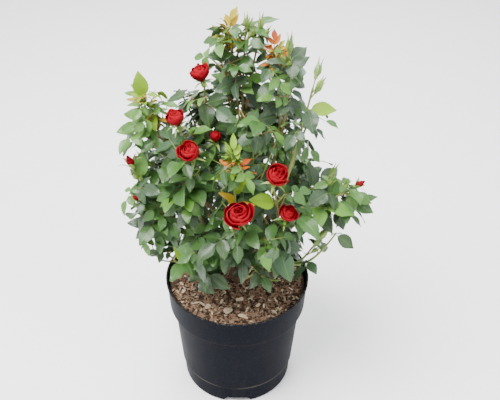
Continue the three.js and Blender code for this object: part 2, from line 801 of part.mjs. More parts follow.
const potMade = potSolid();
const soilMade = soilSolid();
const blooms = shoots.filter((s) => s.bloom);
const rigid = [potMade, soilMade, trunkFat, ...boughsFat.values(), ...blooms.map((row) => bloomSolid(row, 1))];

function massSolid(mass, built) {
  const fatWood = (row) => woodGeometries(row, clearance).map(solidOf);
  const before = masses.slice(0, masses.indexOf(mass)).flatMap(fatWood);
  const after = masses.slice(masses.indexOf(mass) + 1).flatMap(fatWood);
  const taken = crowd([...rigid, ...before, ...after, ...built]);
  const growth = crowd([]);
  const stems = crowd([...rigid, ...before]).cutFrom(fuse(woodGeometries(mass).map(solidOf)));
  const kept = [stems];
  const keep = (geometry, carries = false) => {
    const solid = solidOf(geometry);
    if (taken.touches(solid) || growth.touches(solid)) return;
    if (stems.intersect(solid).decompose().length > 1) return;
    kept.push(solid);
    if (!carries) growth.join(solid);
  };
  for (const row of shoots.filter((s) => s.mass === mass)) {
    const { blades, sprigs, young, buds } = row.grown;
    for (const curve of sprigs) keep(limbGeometry(curve, 0, 1, shoot.tip + 0.2, shoot.tip - 0.2, 3, 1, 0.3), true);
    for (const { root, heading, normal, length } of blades) {
      keep(placed(bladeGeometry(length, length * leaf.width, leaf.sag), root, heading, normal));
    }
    for (const { root, heading, length } of young) {
      keep(placed(bladeGeometry(length, length * 0.5, -0.08), root, heading, up));
    }
    for (const { root, heading, length, radius } of buds) {
      keep(placed(budGeometry(length, radius), root, heading, across(heading)[0]));
    }
    if (row.bloom) {
      const axis = bloomAxis(row);
      const sunk = 1.5;
      const swelling = new THREE.CylinderGeometry(hip.radius, 0.6, hip.length + sunk, 5)
        .rotateZ(-Math.PI / 2)
        .translate((hip.length + sunk) / 2, 0, 0);
      kept.push(solidOf(placed(swelling, row.tip.clone().addScaledVector(axis, -sunk), axis, across(axis)[0])));
    }
  }
  return fuse(kept);
}

// ---- materials and the finished group ----

const finish = (color, roughness, metalness = 0) => new THREE.MeshStandardMaterial({ color, roughness, metalness });
const finishes = {
  plastic: finish("#23262d", 0.55),
  soil: finish("#5a4433", 0.95),
  wood: finish("#5a4a2c", 0.8),
  bough: finish("#6e6a38", 0.65),
  leaves: finish("#3f6a3c", 0.5),
  petals: finish("#b5121c", 0.6),
};

const root = new THREE.Group();
root.name = "rose_bush";

function add(name, solid, material) {
  const mesh = new THREE.Mesh(geometryOf(solid), material);
  mesh.name = name;
  root.add(mesh);
}

add("pot", potMade, finishes.plastic);
add("soil", soilMade, finishes.soil);
add("trunk", trunkMade, finishes.wood);
boughs.forEach((solid, name) => add(`bough_${name}`, solid, finishes.bough));
const built = [];
for (const mass of masses) {
  built.push(massSolid(mass, built));
  add(`foliage_${mass.name}`, built.at(-1), finishes.leaves);
}
blooms.forEach((row, n) => add(`bloom_${n + 1}`, bloomSolid(row), finishes.petals));

export default root;
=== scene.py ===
# The looks of a rose bush in its nursery pot.
# The plant grows by the same rule as the part's source, in millimetres, and its meshes are made in metres.
import math

import bmesh
import bpy
import numpy as np
from mathutils import Matrix, Vector, noise


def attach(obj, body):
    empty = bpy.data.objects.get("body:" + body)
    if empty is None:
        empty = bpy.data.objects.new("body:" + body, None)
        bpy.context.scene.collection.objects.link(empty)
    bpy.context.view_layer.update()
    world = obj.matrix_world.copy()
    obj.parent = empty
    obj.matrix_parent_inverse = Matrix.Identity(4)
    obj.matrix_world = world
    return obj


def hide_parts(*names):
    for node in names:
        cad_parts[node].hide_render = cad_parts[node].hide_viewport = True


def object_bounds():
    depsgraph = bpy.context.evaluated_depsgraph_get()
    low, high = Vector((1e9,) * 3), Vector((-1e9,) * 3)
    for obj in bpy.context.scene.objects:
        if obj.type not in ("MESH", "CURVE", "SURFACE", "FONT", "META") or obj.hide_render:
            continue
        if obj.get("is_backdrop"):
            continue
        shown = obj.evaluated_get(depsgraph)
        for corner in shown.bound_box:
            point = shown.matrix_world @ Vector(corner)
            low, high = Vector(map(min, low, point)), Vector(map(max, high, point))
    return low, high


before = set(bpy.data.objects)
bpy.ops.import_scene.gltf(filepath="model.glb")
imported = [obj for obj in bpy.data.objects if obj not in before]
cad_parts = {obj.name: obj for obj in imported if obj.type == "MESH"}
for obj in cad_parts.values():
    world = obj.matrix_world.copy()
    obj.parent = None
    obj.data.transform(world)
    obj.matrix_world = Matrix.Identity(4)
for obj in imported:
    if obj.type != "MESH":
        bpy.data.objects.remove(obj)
cadLow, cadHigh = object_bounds()
scene = bpy.context.scene
mm = 0.001
print("frame loaded,", len(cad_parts), "nodes")


# camera, floor and lights

view = {"place": (0, -835.2, 960.6), "aim": (0, 0, 349.4), "lens": 50.7, "shift": 0.0256}  # mm

studio = {
    "floor": (0.93, 0.93, 0.93, 1),
    "floorSize": 14,
    "sky": (0.93, 0.97, 1, 1),
    "skyStrength": 0.92,
    "lamps": [  # place in metres, size, watts
        ((-0.8, -0.6, 2.5), 1.7, 190),
        ((1.6, -1.0, 1.7), 1.8, 28),
        ((0.2, 1.5, 2.2), 1.6, 65),
    ],
}


def link(obj):
    scene.collection.objects.link(obj)
    return obj


def meshFrom(name, verts, faces, uvs=None):
    # a mesh from its corners and faces, with a map from one (u, v) for each corner
    mesh = bpy.data.meshes.new(name)
    mesh.from_pydata(verts, [], faces)
    if uvs:
        layer = mesh.uv_layers.new(name="UVMap")
        for loop in mesh.loops:
            layer.data[loop.index].uv = uvs[loop.vertex_index]
    return mesh


def meshOf(bm, name):
    mesh = bpy.data.meshes.new(name)
    bm.to_mesh(mesh)
    bm.free()
    return mesh


def aimAt(obj, target):
    obj.rotation_euler = (Vector(target) - obj.location).to_track_quat("-Z", "Y").to_euler()


def addCamera():
    camera = link(bpy.data.objects.new("camera", bpy.data.cameras.new("camera")))
    camera.data.lens = view["lens"]
    camera.data.shift_x = view["shift"]
    camera.location = Vector(view["place"]) * mm
    aimAt(camera, Vector(view["aim"]) * mm)
    scene.camera = camera


def newMaterial(name, **values):
    material = bpy.data.materials.new(name)
    material.use_nodes = True
    shader = material.node_tree.nodes["Principled BSDF"]
    for key, value in values.items():
        shader.inputs[key.replace("_", " ")].default_value = value
    return material, material.node_tree, shader


def addStudio():
    half = studio["floorSize"] / 2
    corners = [(-half, -half, 0), (half, -half, 0), (half, half, 0), (-half, half, 0)]
    mesh = meshFrom("floor", corners, [(0, 1, 2, 3)])
    mesh.materials.append(newMaterial("floor", Base_Color=studio["floor"], Roughness=0.9)[0])
    link(bpy.data.objects.new("floor", mesh))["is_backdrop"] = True
    for n, (place, size, watts) in enumerate(studio["lamps"]):
        lamp = bpy.data.lights.new(f"lamp{n}", "AREA")
        lamp.shape = "DISK"
        lamp.size = size
        lamp.energy = watts
        holder = link(bpy.data.objects.new(f"lamp{n}", lamp))
        holder.location = place
        aimAt(holder, (0, 0, 0.3))
    scene.world = bpy.data.worlds.new("studio")
    scene.world.use_nodes = True
    background = scene.world.node_tree.nodes["Background"]
    background.inputs["Color"].default_value = studio["sky"]
    background.inputs["Strength"].default_value = studio["skyStrength"]


addCamera()
addStudio()
print("camera and studio")


# tools for node trees and meshes

def put(tree, kind, values=None, links=None, **settings):
    node = tree.nodes.new(kind)
    for name, value in settings.items():
        setattr(node, name, value)
    for name, value in (values or {}).items():
        node.inputs[name].default_value = value
    for name, source in (links or {}).items():
        tree.links.new(source, node.inputs[name])
    return node


def sockets(tree, inputs, outputs):
    # inputs are (name, kind, value) and outputs (name, kind)
    for name, kind, value in inputs:
        socket = tree.interface.new_socket(name, in_out="INPUT", socket_type="NodeSocket" + kind)
        if value is not None:
            socket.default_value = value
    for name, kind in outputs:
        tree.interface.new_socket(name, in_out="OUTPUT", socket_type="NodeSocket" + kind)
    return tree.nodes.new("NodeGroupInput"), tree.nodes.new("NodeGroupOutput")


def maths(tree, operation, first, second=0.5):
    node = tree.nodes.new("ShaderNodeMath")
    node.operation = operation
    for n, value in enumerate((first, second)):
        if isinstance(value, (int, float)):
            node.inputs[n].default_value = value
        else:
            tree.links.new(value, node.inputs[n])
    return node.outputs[0]


def times(tree, first, second):
    return maths(tree, "MULTIPLY", first, second)


def plus(tree, first, second):
    return maths(tree, "ADD", first, second)


def minus(tree, first, second):
    return maths(tree, "SUBTRACT", first, second)


def colour(text):
    # a web colour as a linear one
    parts = [int(text[n:n + 2], 16) / 255 for n in (1, 3, 5)]
    return tuple(p / 12.92 if p <= 0.04045 else ((p + 0.055) / 1.055) ** 2.4 for p in parts) + (1,)


def blendColour(tree, share, first, second):
    # between two colours, each a web colour or a socket
    node = put(tree, "ShaderNodeMix", data_type="RGBA")
    for n, value in ((0, share), (6, first), (7, second)):
        if isinstance(value, str):
            node.inputs[n].default_value = colour(value)
        else:
            tree.links.new(value, node.inputs[n])
    return node.outputs[2]


def axesOf(tree, vector):
    return put(tree, "ShaderNodeSeparateXYZ", {}, {"Vector": vector}).outputs


def heightOf(tree):
    return axesOf(tree, tree.nodes.new("ShaderNodeTexCoord").outputs["Object"])[2]


def ramp(tree, source, low, high):
    # 0 below low, 1 above high
    return put(tree, "ShaderNodeMapRange", {"From Min": low, "From Max": high}, {"Value": source}).outputs[0]


def meshObject(name, mesh, materials=()):
    mesh.name = name
    for material in materials:
        mesh.materials.append(material)
    return link(bpy.data.objects.new(name, mesh))


def shapeSet(name, meshes):
    shapes = bpy.data.collections.new(name)
    for mesh in meshes:
        shapes.objects.link(bpy.data.objects.new(mesh.name, mesh))
    return shapes


def evaluated(holder):
    # the object with its modifiers as a plain mesh
    graph = bpy.context.evaluated_depsgraph_get()
    mesh = bpy.data.meshes.new_from_object(holder.evaluated_get(graph), depsgraph=graph)
    holder.modifiers.clear()
    return mesh


def runTree(holder, tree, values):
    # the tree's result on the holder as a plain mesh, with its inputs set by their identifiers
    modifier = holder.modifiers.new(tree.name, "NODES")
    modifier.node_group = tree
    for item in tree.interface.items_tree:
        if item.in_out == "INPUT" and item.name in values:
            modifier[item.identifier] = values[item.name]
    mesh = evaluated(holder)
    bpy.data.objects.remove(holder)
    return mesh


def finishPiece(piece, replaced=()):
    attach(piece, "root")
    if replaced:
        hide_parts(*replaced)
    return piece


# effects that several materials share

def mottleGroup():
    tree = bpy.data.node_groups.new("mottle", "ShaderNodeTree")
    start, end = sockets(
        tree,
        [("Scale", "Float", 20.0), ("Stretch", "Vector", (1.0, 1.0, 1.0)),
         ("Low", "Float", 0.35), ("High", "Float", 0.65)],
        [("Mask", "Float"), ("Height", "Float")],
    )
    places = tree.nodes.new("ShaderNodeTexCoord")
    stretched = put(tree, "ShaderNodeVectorMath", operation="MULTIPLY")
    tree.links.new(places.outputs["Object"], stretched.inputs[0])
    tree.links.new(start.outputs["Stretch"], stretched.inputs[1])
    cloud = put(
        tree, "ShaderNodeTexNoise", {"Detail": 5, "Roughness": 0.6},
        {"Vector": stretched.outputs[0], "Scale": start.outputs["Scale"]},
    )
    mask = put(
        tree, "ShaderNodeMapRange", {},
        {"Value": cloud.outputs["Fac"], "From Min": start.outputs["Low"], "From Max": start.outputs["High"]},
    )
    tree.links.new(mask.outputs[0], end.inputs["Mask"])
    tree.links.new(cloud.outputs["Fac"], end.inputs["Height"])
    return tree


def veinGroup():
    # veins of a leaf or petal on its own map: U runs from root to tip and V across
    tree = bpy.data.node_groups.new("veins", "ShaderNodeTree")
    start, end = sockets(
        tree,
        [("Pairs", "Float", 8.0), ("Slant", "Float", 0.8), ("Net", "Float", 40.0)],
        [("Vein", "Float"), ("Height", "Float")],
    )
    places = put(tree, "ShaderNodeUVMap", uv_map="UVMap")
    along, sideways, _ = axesOf(tree, places.outputs[0])
    side = maths(tree, "ABSOLUTE", minus(tree, sideways, 0.5))
    slanted = minus(tree, along, times(tree, side, start.outputs["Slant"]))
    beat = maths(tree, "FRACT", times(tree, slanted, start.outputs["Pairs"]))
    lateral = maths(tree, "ABSOLUTE", minus(tree, beat, 0.5))
    sideVein = ramp(tree, lateral, 0.09, 0.0)
    midVein = ramp(tree, side, 0.035, 0.008)
    net = put(
        tree, "ShaderNodeTexVoronoi", {}, {"Vector": places.outputs[0], "Scale": start.outputs["Net"]},
        feature="DISTANCE_TO_EDGE",
    )
    netVein = times(tree, ramp(tree, net.outputs["Distance"], 0.12, 0.0), 0.3)
    veins = maths(tree, "MAXIMUM", maths(tree, "MAXIMUM", times(tree, sideVein, 0.6), midVein), netVein)
    tree.links.new(veins, end.inputs["Vein"])
    tree.links.new(minus(tree, 1.0, veins), end.inputs["Height"])
    return tree


groups = {"mottle": mottleGroup(), "veins": veinGroup()}


def place(tree, name, **values):
    return put(tree, "ShaderNodeGroup", values, node_tree=groups[name]).outputs


def mottle(tree, scale, low, high, stretch=(1.0, 1.0, 1.0)):
    return place(tree, "mottle", Scale=scale, Low=low, High=high, Stretch=stretch)


def setColour(tree, shader, tone):
    tree.links.new(tone, shader.inputs["Base Color"])


def bump(tree, shader, height, strength, distance):
    node = put(tree, "ShaderNodeBump", {"Strength": strength, "Distance": distance}, {"Height": height})
    tree.links.new(node.outputs[0], shader.inputs["Normal"])


# pot

pot = {
    "height": 205, "rimRadius": 113, "skirtHeight": 50, "skirtRadius": 109, "bodyRadius": 102,
    "footHeight": 37, "footRadius": 91.5, "baseRadius": 89.5, "wall": 2, "floor": 13,
    "grooveHeight": 7, "grooveInner": 30, "grooveOuter": 68,
    "slots": 3, "slotHeight": 11, "slotTop": 32, "slotFoot": 50, "drains": 6, "drainRadius": 5,
    "sides": 144, "soften": 1.2,
    "plastic": "#0d0f17", "worn": "#12141c", "dustAndHighlightTone": "#7d7466",
}


def ridge(tree, height, middle, reach, above):
    # 1 on a narrow ring round the pot and 0 a few millimetres above and below it
    upper = ramp(tree, height, middle + reach, middle + above)
    return times(tree, upper, ramp(tree, height, middle - reach, middle - 0.001))


def potMaterial():
    material, tree, shader = newMaterial("potPlastic", Specular_IOR_Level=0.015)
    worn = mottle(tree, 16.0, 0.42, 0.72)
    grain = mottle(tree, 520.0, 0.3, 0.7)
    runs = mottle(tree, 38.0, 0.55, 0.78, (1.0, 1.0, 0.16))
    height = heightOf(tree)
    ring = ridge(tree, height, pot["footHeight"] * mm, 0.004, 0.0015)
    low = ramp(tree, height, 0.07, 0.0)
    tone = blendColour(tree, worn["Mask"], pot["plastic"], pot["worn"])
    dustAndHighlight = times(tree, runs["Mask"], plus(tree, times(tree, low, 0.07), 0.01))
    scuff = times(tree, ring, times(tree, worn["Mask"], 0.4))
    specks = mottle(tree, 300.0, 0.52, 0.64)
    # a speckled light band along the top of the rim: wear, and a painted highlight where the edge catches the
    # light
    lip = ramp(tree, height, (pot["height"] - 2.5) * mm, (pot["height"] - 0.4) * mm)
    lip = times(tree, lip, plus(tree, times(tree, specks["Mask"], 0.35), 0.05))
    dustAndHighlight = maths(tree, "MAXIMUM", dustAndHighlight, lip)
    # a thin light line round the collar's lower edge: a painted highlight
    edge = ridge(tree, height, (pot["height"] - pot["skirtHeight"]) * mm, 0.003, 0.001)
    dustAndHighlight = maths(tree, "MAXIMUM", dustAndHighlight, times(tree, edge, 0.05))
    dustAndHighlight = maths(tree, "MAXIMUM", dustAndHighlight, times(tree, specks["Mask"], 0.03))
    # dust, scuffs and wear, with the painted highlights on the rim and the collar's edge, all blend towards
    # the pale dust colour
    tone = blendColour(tree, maths(tree, "MAXIMUM", dustAndHighlight, scuff), tone, pot["dustAndHighlightTone"])
    setColour(tree, shader, tone)
    rough = plus(tree, times(tree, worn["Height"], 0.25), 0.34)
    tree.links.new(plus(tree, rough, times(tree, dustAndHighlight, 0.4)), shader.inputs["Roughness"])
    bump(tree, shader, plus(tree, grain["Height"], times(tree, worn["Height"], 2.0)), 0.12, 0.0006)
    return material


def softened(profile, radius):
    # the profile with each inner corner replaced by three points of a short curve
    made = [profile[0]]
    for before, corner, after in zip(profile, profile[1:], profile[2:]):
        a, b, c = (Vector(point) for point in (before, corner, after))
        reach = min(radius, (a - b).length * 0.4, (c - b).length * 0.4)
        start = b + (a - b).normalized() * reach
        end = b + (c - b).normalized() * reach
        made += [tuple(start), tuple(start * 0.25 + b * 0.5 + end * 0.25), tuple(end)]
    return made + [profile[-1]]


def lathe(name, profile, sides):
    # a closed profile of (radius, height) in mm turned round Z, from the axis to the axis
    bm = bmesh.new()
    columns = []
    for n in range(sides):
        around = 2 * math.pi * n / sides
        x, y = math.cos(around), math.sin(around)
        columns.append([bm.verts.new((r * mm * x, r * mm * y, z * mm)) for r, z in profile[1:-1]])
    ends = [bm.verts.new((0, 0, profile[k][1] * mm)) for k in (0, -1)]
    for n, column in enumerate(columns):
        after = columns[(n + 1) % sides]
        for k in range(len(column) - 1):
            bm.faces.new((column[k], after[k], after[k + 1], column[k + 1]))
        bm.faces.new((ends[0], after[0], column[0]))
        bm.faces.new((column[-1], after[-1], ends[1]))
    bmesh.ops.recalc_face_normals(bm, faces=bm.faces)
    return meshOf(bm, name)


def prism(name, outline, low, high, turn):
    # an upright outline of (x, z) drawn out along Y and turned round Z
    count = len(outline)
    verts = [(x * mm, y * mm, z * mm) for y in (low, high) for x, z in outline]
    faces = [tuple(range(count)), tuple(range(2 * count - 1, count - 1, -1))]
    faces += [(n, n + count, (n + 1) % count + count, (n + 1) % count) for n in range(count)]
    mesh = meshFrom(name, verts, faces)
    mesh.transform(Matrix.Rotation(turn, 4, "Z"))
    return mesh


def outsideIn(mesh):
    bm = bmesh.new()
    bm.from_mesh(mesh)
    bmesh.ops.recalc_face_normals(bm, faces=bm.faces)
    bm.to_mesh(mesh)
    bm.free()


def potCutters():
    cutters = []
    slot = [
        (-pot["slotFoot"] / 2, -1), (pot["slotFoot"] / 2, -1),
        (pot["slotTop"] / 2, pot["slotHeight"]), (-pot["slotTop"] / 2, pot["slotHeight"]),
    ]
    for n in range(pot["slots"]):
        turn = 2 * math.pi * n / pot["slots"]
        cutters.append(prism("slot", slot, -pot["rimRadius"], -pot["grooveOuter"] - 6, turn))
    reach = (pot["grooveInner"] + pot["grooveOuter"]) / 2
    radius = pot["drainRadius"] * mm
    for n in range(pot["drains"]):
        around = 2 * math.pi * (n + 0.5) / pot["drains"]
        middle = Vector((reach * math.cos(around), reach * math.sin(around), pot["floor"])) * mm
        bm = bmesh.new()
        bmesh.ops.create_cone(
            bm, cap_ends=True, segments=24, radius1=radius, radius2=radius, depth=2 * pot["floor"] * mm,
            matrix=Matrix.Translation(middle),
        )
        cutters.append(meshOf(bm, "drain"))
    bm = bmesh.new()
    for mesh in cutters:
        outsideIn(mesh)
        bm.from_mesh(mesh)
    return meshOf(bm, "potCutters")


def addPot():
    p = pot
    collar = p["height"] - p["skirtHeight"]
    lip = p["height"]
    inner = {key: p[key] - p["wall"] for key in ("skirtRadius", "bodyRadius", "footRadius", "baseRadius")}
    profile = softened([
        (0, 0), (p["grooveInner"] - 4, 0),
        (p["grooveInner"], p["grooveHeight"]), (p["grooveOuter"], p["grooveHeight"]),
        (p["grooveOuter"] + 4, 0), (p["baseRadius"] - 2.5, 0), (p["baseRadius"], 2.5),
        (p["footRadius"], p["footHeight"] - 2), (p["footRadius"] + 2, p["footHeight"]),
        (p["bodyRadius"], collar - 2), (p["skirtRadius"], collar), (p["rimRadius"] - 1.6, lip - 5),
        (p["rimRadius"], lip - 4), (p["rimRadius"], lip),
        (p["rimRadius"] - 2.6, lip), (p["rimRadius"] - 3.6, lip - 5),
        (inner["skirtRadius"], collar + 2), (inner["bodyRadius"], collar - 1),
        (inner["footRadius"] + 1.5, p["footHeight"]), (inner["footRadius"], p["footHeight"] - 3),
        (inner["baseRadius"], p["floor"]), (0, p["floor"]),
    ], p["soften"])
    holder = meshObject("pot_shell", lathe("potShell", profile, p["sides"]))
    cutter = meshObject("potCutters", potCutters())
    cut = holder.modifiers.new("cut", "BOOLEAN")
    cut.operation = "DIFFERENCE"
    cut.object = cutter
    mesh = evaluated(holder)
    bpy.data.objects.remove(holder)
    bpy.data.objects.remove(cutter)
    mesh.shade_smooth()
    mesh.set_sharp_from_angle(angle=math.radians(34))
    finishPiece(meshObject("pot_shell", mesh, [potMaterial()]), ["pot"])


addPot()
print("pot")


# soil and mulch

soil = {
    "top": 190, "crown": 3, "rings": 44, "sectors": 120, "lumps": 2.4, "foot": 13.6,
    "dark": "#382c24", "brown": "#6a5440",
    "shapes": [  # width, thickness and bend of each splinter, as shares of its length
        (0.42, 0.16, 0.1), (0.26, 0.12, -0.08), (0.6, 0.2, 0.05), (0.16, 0.1, 0.14),
    ],
    "chips": [  # piece, how many, smallest and largest length, colours
        ("mulch_dark", 1700, 3, 9, "#2c211a", "#503d30"),
        ("mulch_rust", 700, 2.5, 8, "#7a5238", "#a47c5c"),
        ("mulch_brown", 2300, 2.5, 9, "#6a5342", "#9a7f69"),
        ("mulch_pale", 480, 2, 7, "#aa947a", "#dccab0"),
    ],
    "slivers": [  # the big pale slivers, and the dry leaves in "fallen": place, turn in degrees, length
        (-64, -55, 20, 12), (-53, -58, 140, 9), (-24, -52, 75, 9), (4, -48, 10, 11), (9, -84, 160, 14),
        (32, -60, 40, 8), (60, -50, 110, 9), (-84, -30, 60, 8), (84, -24, 130, 9), (-38, -76, 95, 8),
    ],
    "fallen": [
        (-17, -80, 70, 21), (-40, -62, 200, 12), (52, -72, 320, 11), (-12, 84, 40, 22), (70, 52, 250, 18),
    ],
    "dry": ("#ad9478", "#dcc8ac"),
}


def soilMaterial():
    material, tree, shader = newMaterial("pottingSoil", Roughness=0.95, Specular_IOR_Level=0.2)
    crumbs = mottle(tree, 160.0, 0.35, 0.65)
    damp = mottle(tree, 26.0, 0.35, 0.65)
    tone = blendColour(tree, crumbs["Mask"], soil["dark"], soil["brown"])
    setColour(tree, shader, blendColour(tree, damp["Mask"], tone, soil["dark"]))
    bump(tree, shader, crumbs["Height"], 0.7, 0.004)
    return material


def chipMaterial(name, low, high):
    material, tree, shader = newMaterial(name, Roughness=0.85, Specular_IOR_Level=0.25)
    fibres = mottle(tree, 240.0, 0.3, 0.7, (1.0, 0.25, 1.0))
    patches = mottle(tree, 60.0, 0.3, 0.7)
    tone = blendColour(tree, fibres["Mask"], low, high)
    setColour(tree, shader, blendColour(tree, times(tree, patches["Mask"], 0.5), tone, low))
    bump(tree, shader, fibres["Height"], 0.5, 0.001)
    return material


def soilMesh():
    # inside the pot's wall, lumpy on top
    p = pot
    collar = p["height"] - p["skirtHeight"]
    flare = p["rimRadius"] - 1.6 - p["skirtRadius"]
    edge = p["skirtRadius"] + flare * (soil["top"] - collar) / p["skirtHeight"] - 2.3
    profile = [(0, soil["foot"]), (p["baseRadius"] - 3, soil["foot"])]
    profile += [(p["bodyRadius"] - 3, collar - 2), (edge, soil["top"] - 3)]
    profile += [(edge * (1 - n / soil["rings"]), soil["top"]) for n in range(1, soil["rings"])]
    profile.append((0, soil["top"]))
    mesh = lathe("soilBed", profile, soil["sectors"])
    for vert in mesh.vertices:
        reach = math.hypot(vert.co.x, vert.co.y) / mm
        if vert.co.z > (soil["top"] - 1) * mm and reach < edge - 1:
            heap = soil["crown"] * max(0, 1 - reach / (0.5 * edge))
            lump = noise.fractal(vert.co * 60, 0.8, 2.1, 4) * soil["lumps"]
            vert.co.z += (heap + lump * min(1, (edge - reach) / 8)) * mm
    mesh.shade_smooth()
    return mesh


def chipShapes():
    # flat splinters of bark with chipped ends
    made = []
    for n, (width, thick, bend) in enumerate(soil["shapes"]):
        bm = bmesh.new()
        bmesh.ops.create_cube(bm, size=1)
        lengthways = [edge for edge in bm.edges if abs(edge.verts[0].co.x - edge.verts[1].co.x) > 0.5]
        bmesh.ops.subdivide_edges(bm, edges=lengthways, cuts=2)
        for vert in bm.verts:
            rag = noise.noise(vert.co * 3 + Vector((n * 7.1, 2, 5)))
            vert.co.y = vert.co.y * width * (1 - 0.7 * abs(vert.co.x)) + 0.14 * rag
            arch = bend * (0.25 - vert.co.x ** 2)
            vert.co.z = vert.co.z * thick * (1 - 0.5 * abs(vert.co.x)) + arch + 0.07 * rag
            vert.co.x += 0.16 * noise.noise(vert.co * 4 + Vector((n, 9, 1)))
        made.append(meshOf(bm, f"chip{n}"))
    return shapeSet("chipShapes", made)


def onPoints(tree, points, shapes, turn, size, index):
    # one shape of a collection on each point, made real
    values = {"Separate Children": True, "Reset Children": True}
    picked = put(tree, "GeometryNodeCollectionInfo", values, {"Collection": shapes})
    made = put(tree, "GeometryNodeInstanceOnPoints", {"Pick Instance": True}, {
        "Points": points, "Instance": picked.outputs[0],
        "Rotation": turn, "Scale": size, "Instance Index": index,
    })
    return put(tree, "GeometryNodeRealizeInstances", {}, {"Geometry": made.outputs[0]}).outputs[0]


def painted(tree, geometry, material, **links):
    links = {"Geometry": geometry, "Material": material, **links}
    return put(tree, "GeometryNodeSetMaterial", {}, links).outputs[0]


def scatterTree():
    # shapes strewn flat over the top of a bed
    tree = bpy.data.node_groups.new("strewn", "GeometryNodeTree")
    inputs = [("Bed", "Geometry", None), ("Shapes", "Collection", None), ("Material", "Material", None)]
    inputs += [("Count Density", "Float", 30000.0), ("Seed", "Int", 1), ("Tilt", "Float", 0.6)]
    inputs += [("Shortest", "Float", 0.005), ("Longest", "Float", 0.015), ("Lift", "Float", 0.001)]
    inputs += [("Lowest", "Float", 0.18), ("Reach", "Float", 0.1)]
    start, end = sockets(tree, inputs, [("Geometry", "Geometry")])
    o = start.outputs
    x, y, z = axesOf(tree, tree.nodes.new("GeometryNodeInputPosition").outputs[0])
    onTop = maths(tree, "GREATER_THAN", z, o["Lowest"])
    flat = put(tree, "ShaderNodeCombineXYZ", {}, {"X": x, "Y": y})
    away = put(tree, "ShaderNodeVectorMath", {}, {"Vector": flat.outputs[0]}, operation="LENGTH")
    inside = maths(tree, "LESS_THAN", away.outputs["Value"], o["Reach"])
    spread = put(tree, "GeometryNodeDistributePointsOnFaces", {}, {
        "Mesh": o["Bed"], "Selection": times(tree, onTop, inside),
        "Density": o["Count Density"], "Seed": o["Seed"],
    })
    raised = put(tree, "ShaderNodeCombineXYZ", {}, {"Z": o["Lift"]}).outputs[0]
    places = {"Geometry": spread.outputs["Points"], "Offset": raised}
    lifted = put(tree, "GeometryNodeSetPosition", {}, places)
    tilt = put(tree, "ShaderNodeCombineXYZ", {"Z": math.pi}, {"X": o["Tilt"], "Y": o["Tilt"]})
    back = put(tree, "ShaderNodeVectorMath", operation="SCALE")
    tree.links.new(tilt.outputs[0], back.inputs[0])
    back.inputs["Scale"].default_value = -1
    turn = put(tree, "FunctionNodeRandomValue", {}, {"Seed": o["Seed"]}, data_type="FLOAT_VECTOR")
    tree.links.new(back.outputs[0], turn.inputs[0])
    tree.links.new(tilt.outputs[0], turn.inputs[1])
    euler = put(tree, "FunctionNodeEulerToRotation", {}, {"Euler": turn.outputs[0]})
    size = put(tree, "FunctionNodeRandomValue", {}, {"Seed": o["Seed"]}, data_type="FLOAT")
    tree.links.new(o["Shortest"], size.inputs[2])
    tree.links.new(o["Longest"], size.inputs[3])
    pick = put(tree, "FunctionNodeRandomValue", {}, {"Seed": o["Seed"]}, data_type="INT")
    pick.inputs[4].default_value = 0
    pick.inputs[5].default_value = len(soil["shapes"]) - 1
    made = onPoints(tree, lifted.outputs[0], o["Shapes"], euler.outputs[0], size.outputs[1], pick.outputs[2])
    tree.links.new(painted(tree, made, o["Material"]), end.inputs["Geometry"])
    return tree


def addSoil():
    bed = meshObject("soil_bed", soilMesh(), [soilMaterial()])
    finishPiece(bed, ["soil"])
    shapes = chipShapes()
    strewn = scatterTree()
    reach = (pot["skirtRadius"] - 2) * mm
    area = math.pi * reach ** 2
    for n, (name, count, shortest, longest, low, high) in enumerate(soil["chips"]):
        mesh = runTree(link(bed.copy()), strewn, {
            "Shapes": shapes, "Count Density": count / area, "Seed": n + 3, "Shortest": shortest * mm,
            "Longest": longest * mm, "Tilt": 0.7, "Lift": (0.6 + 0.5 * n) * mm,
            "Lowest": (soil["top"] - 6) * mm, "Reach": reach - longest * 0.5 * mm,
            "Material": chipMaterial(name, low, high),
        })
        finishPiece(meshObject(name, mesh))


addSoil()
print("soil and mulch")


# how the plant grows: the rule and sizes of the part's source

clearance = 0.3

trunk = {"x": 4, "y": 8, "height": 42, "flare": 18, "waist": 13, "top": 14.5}

limb = {"base": 4.6, "sideBase": 3.8, "tip": 2.6}

shoot = {
    "base": 2.1, "tip": 1.2, "steps": 3, "bend": 0.42, "turn": 137.5, "tries": 8,
    "leafGap": 14, "firstLeaf": 10, "lowestSize": 1.06, "topSize": 0.68,
    "marks": [(0.1, 66), (0.4, 64), (0.7, 58), (0.97, 42)],
    "sprigEvery": 3, "sprig": 44,
    "sprigLeaves": ((0.5, 2), (0.97, 4.2), (0.9, 0.9)),  # where on the sprig, and the turn
    "firstBud": 34, "laterBud": 27, "young": (32, 14),  # lengths in mm; of young leaves least and spread
    "bare": {"bloom": 22, "buds": 16, "young": 6, "leaves": 4},
}

leaf = {
    "length": 80, "width": 0.71, "near": 0.43, "nearSide": 0.86, "far": 0.76, "farSide": 0.84, "sag": 0.12,
    "droop": 12, "sideAngle": 62, "sideSize": 0.72, "rise": 24, "room": 18, "woodRoom": 5.5, "light": 40,
    "hem": 60, "hemSlope": 1, "lowest": -0.32, "steepest": 0.5, "outwards": 0.4,
    "spread": (40, 24, 50),  # how far its turn, rise and roll may vary, in degrees
    "stationGap": 7,  # between the points of the wood that leaves keep clear of
}


def newMass(name, fork, size, **more):
    return {"name": name, "fork": fork, "size": size, **more}


def shootTo(tip, end="leaves", **more):
    return {"tip": tip, "end": end, **more}


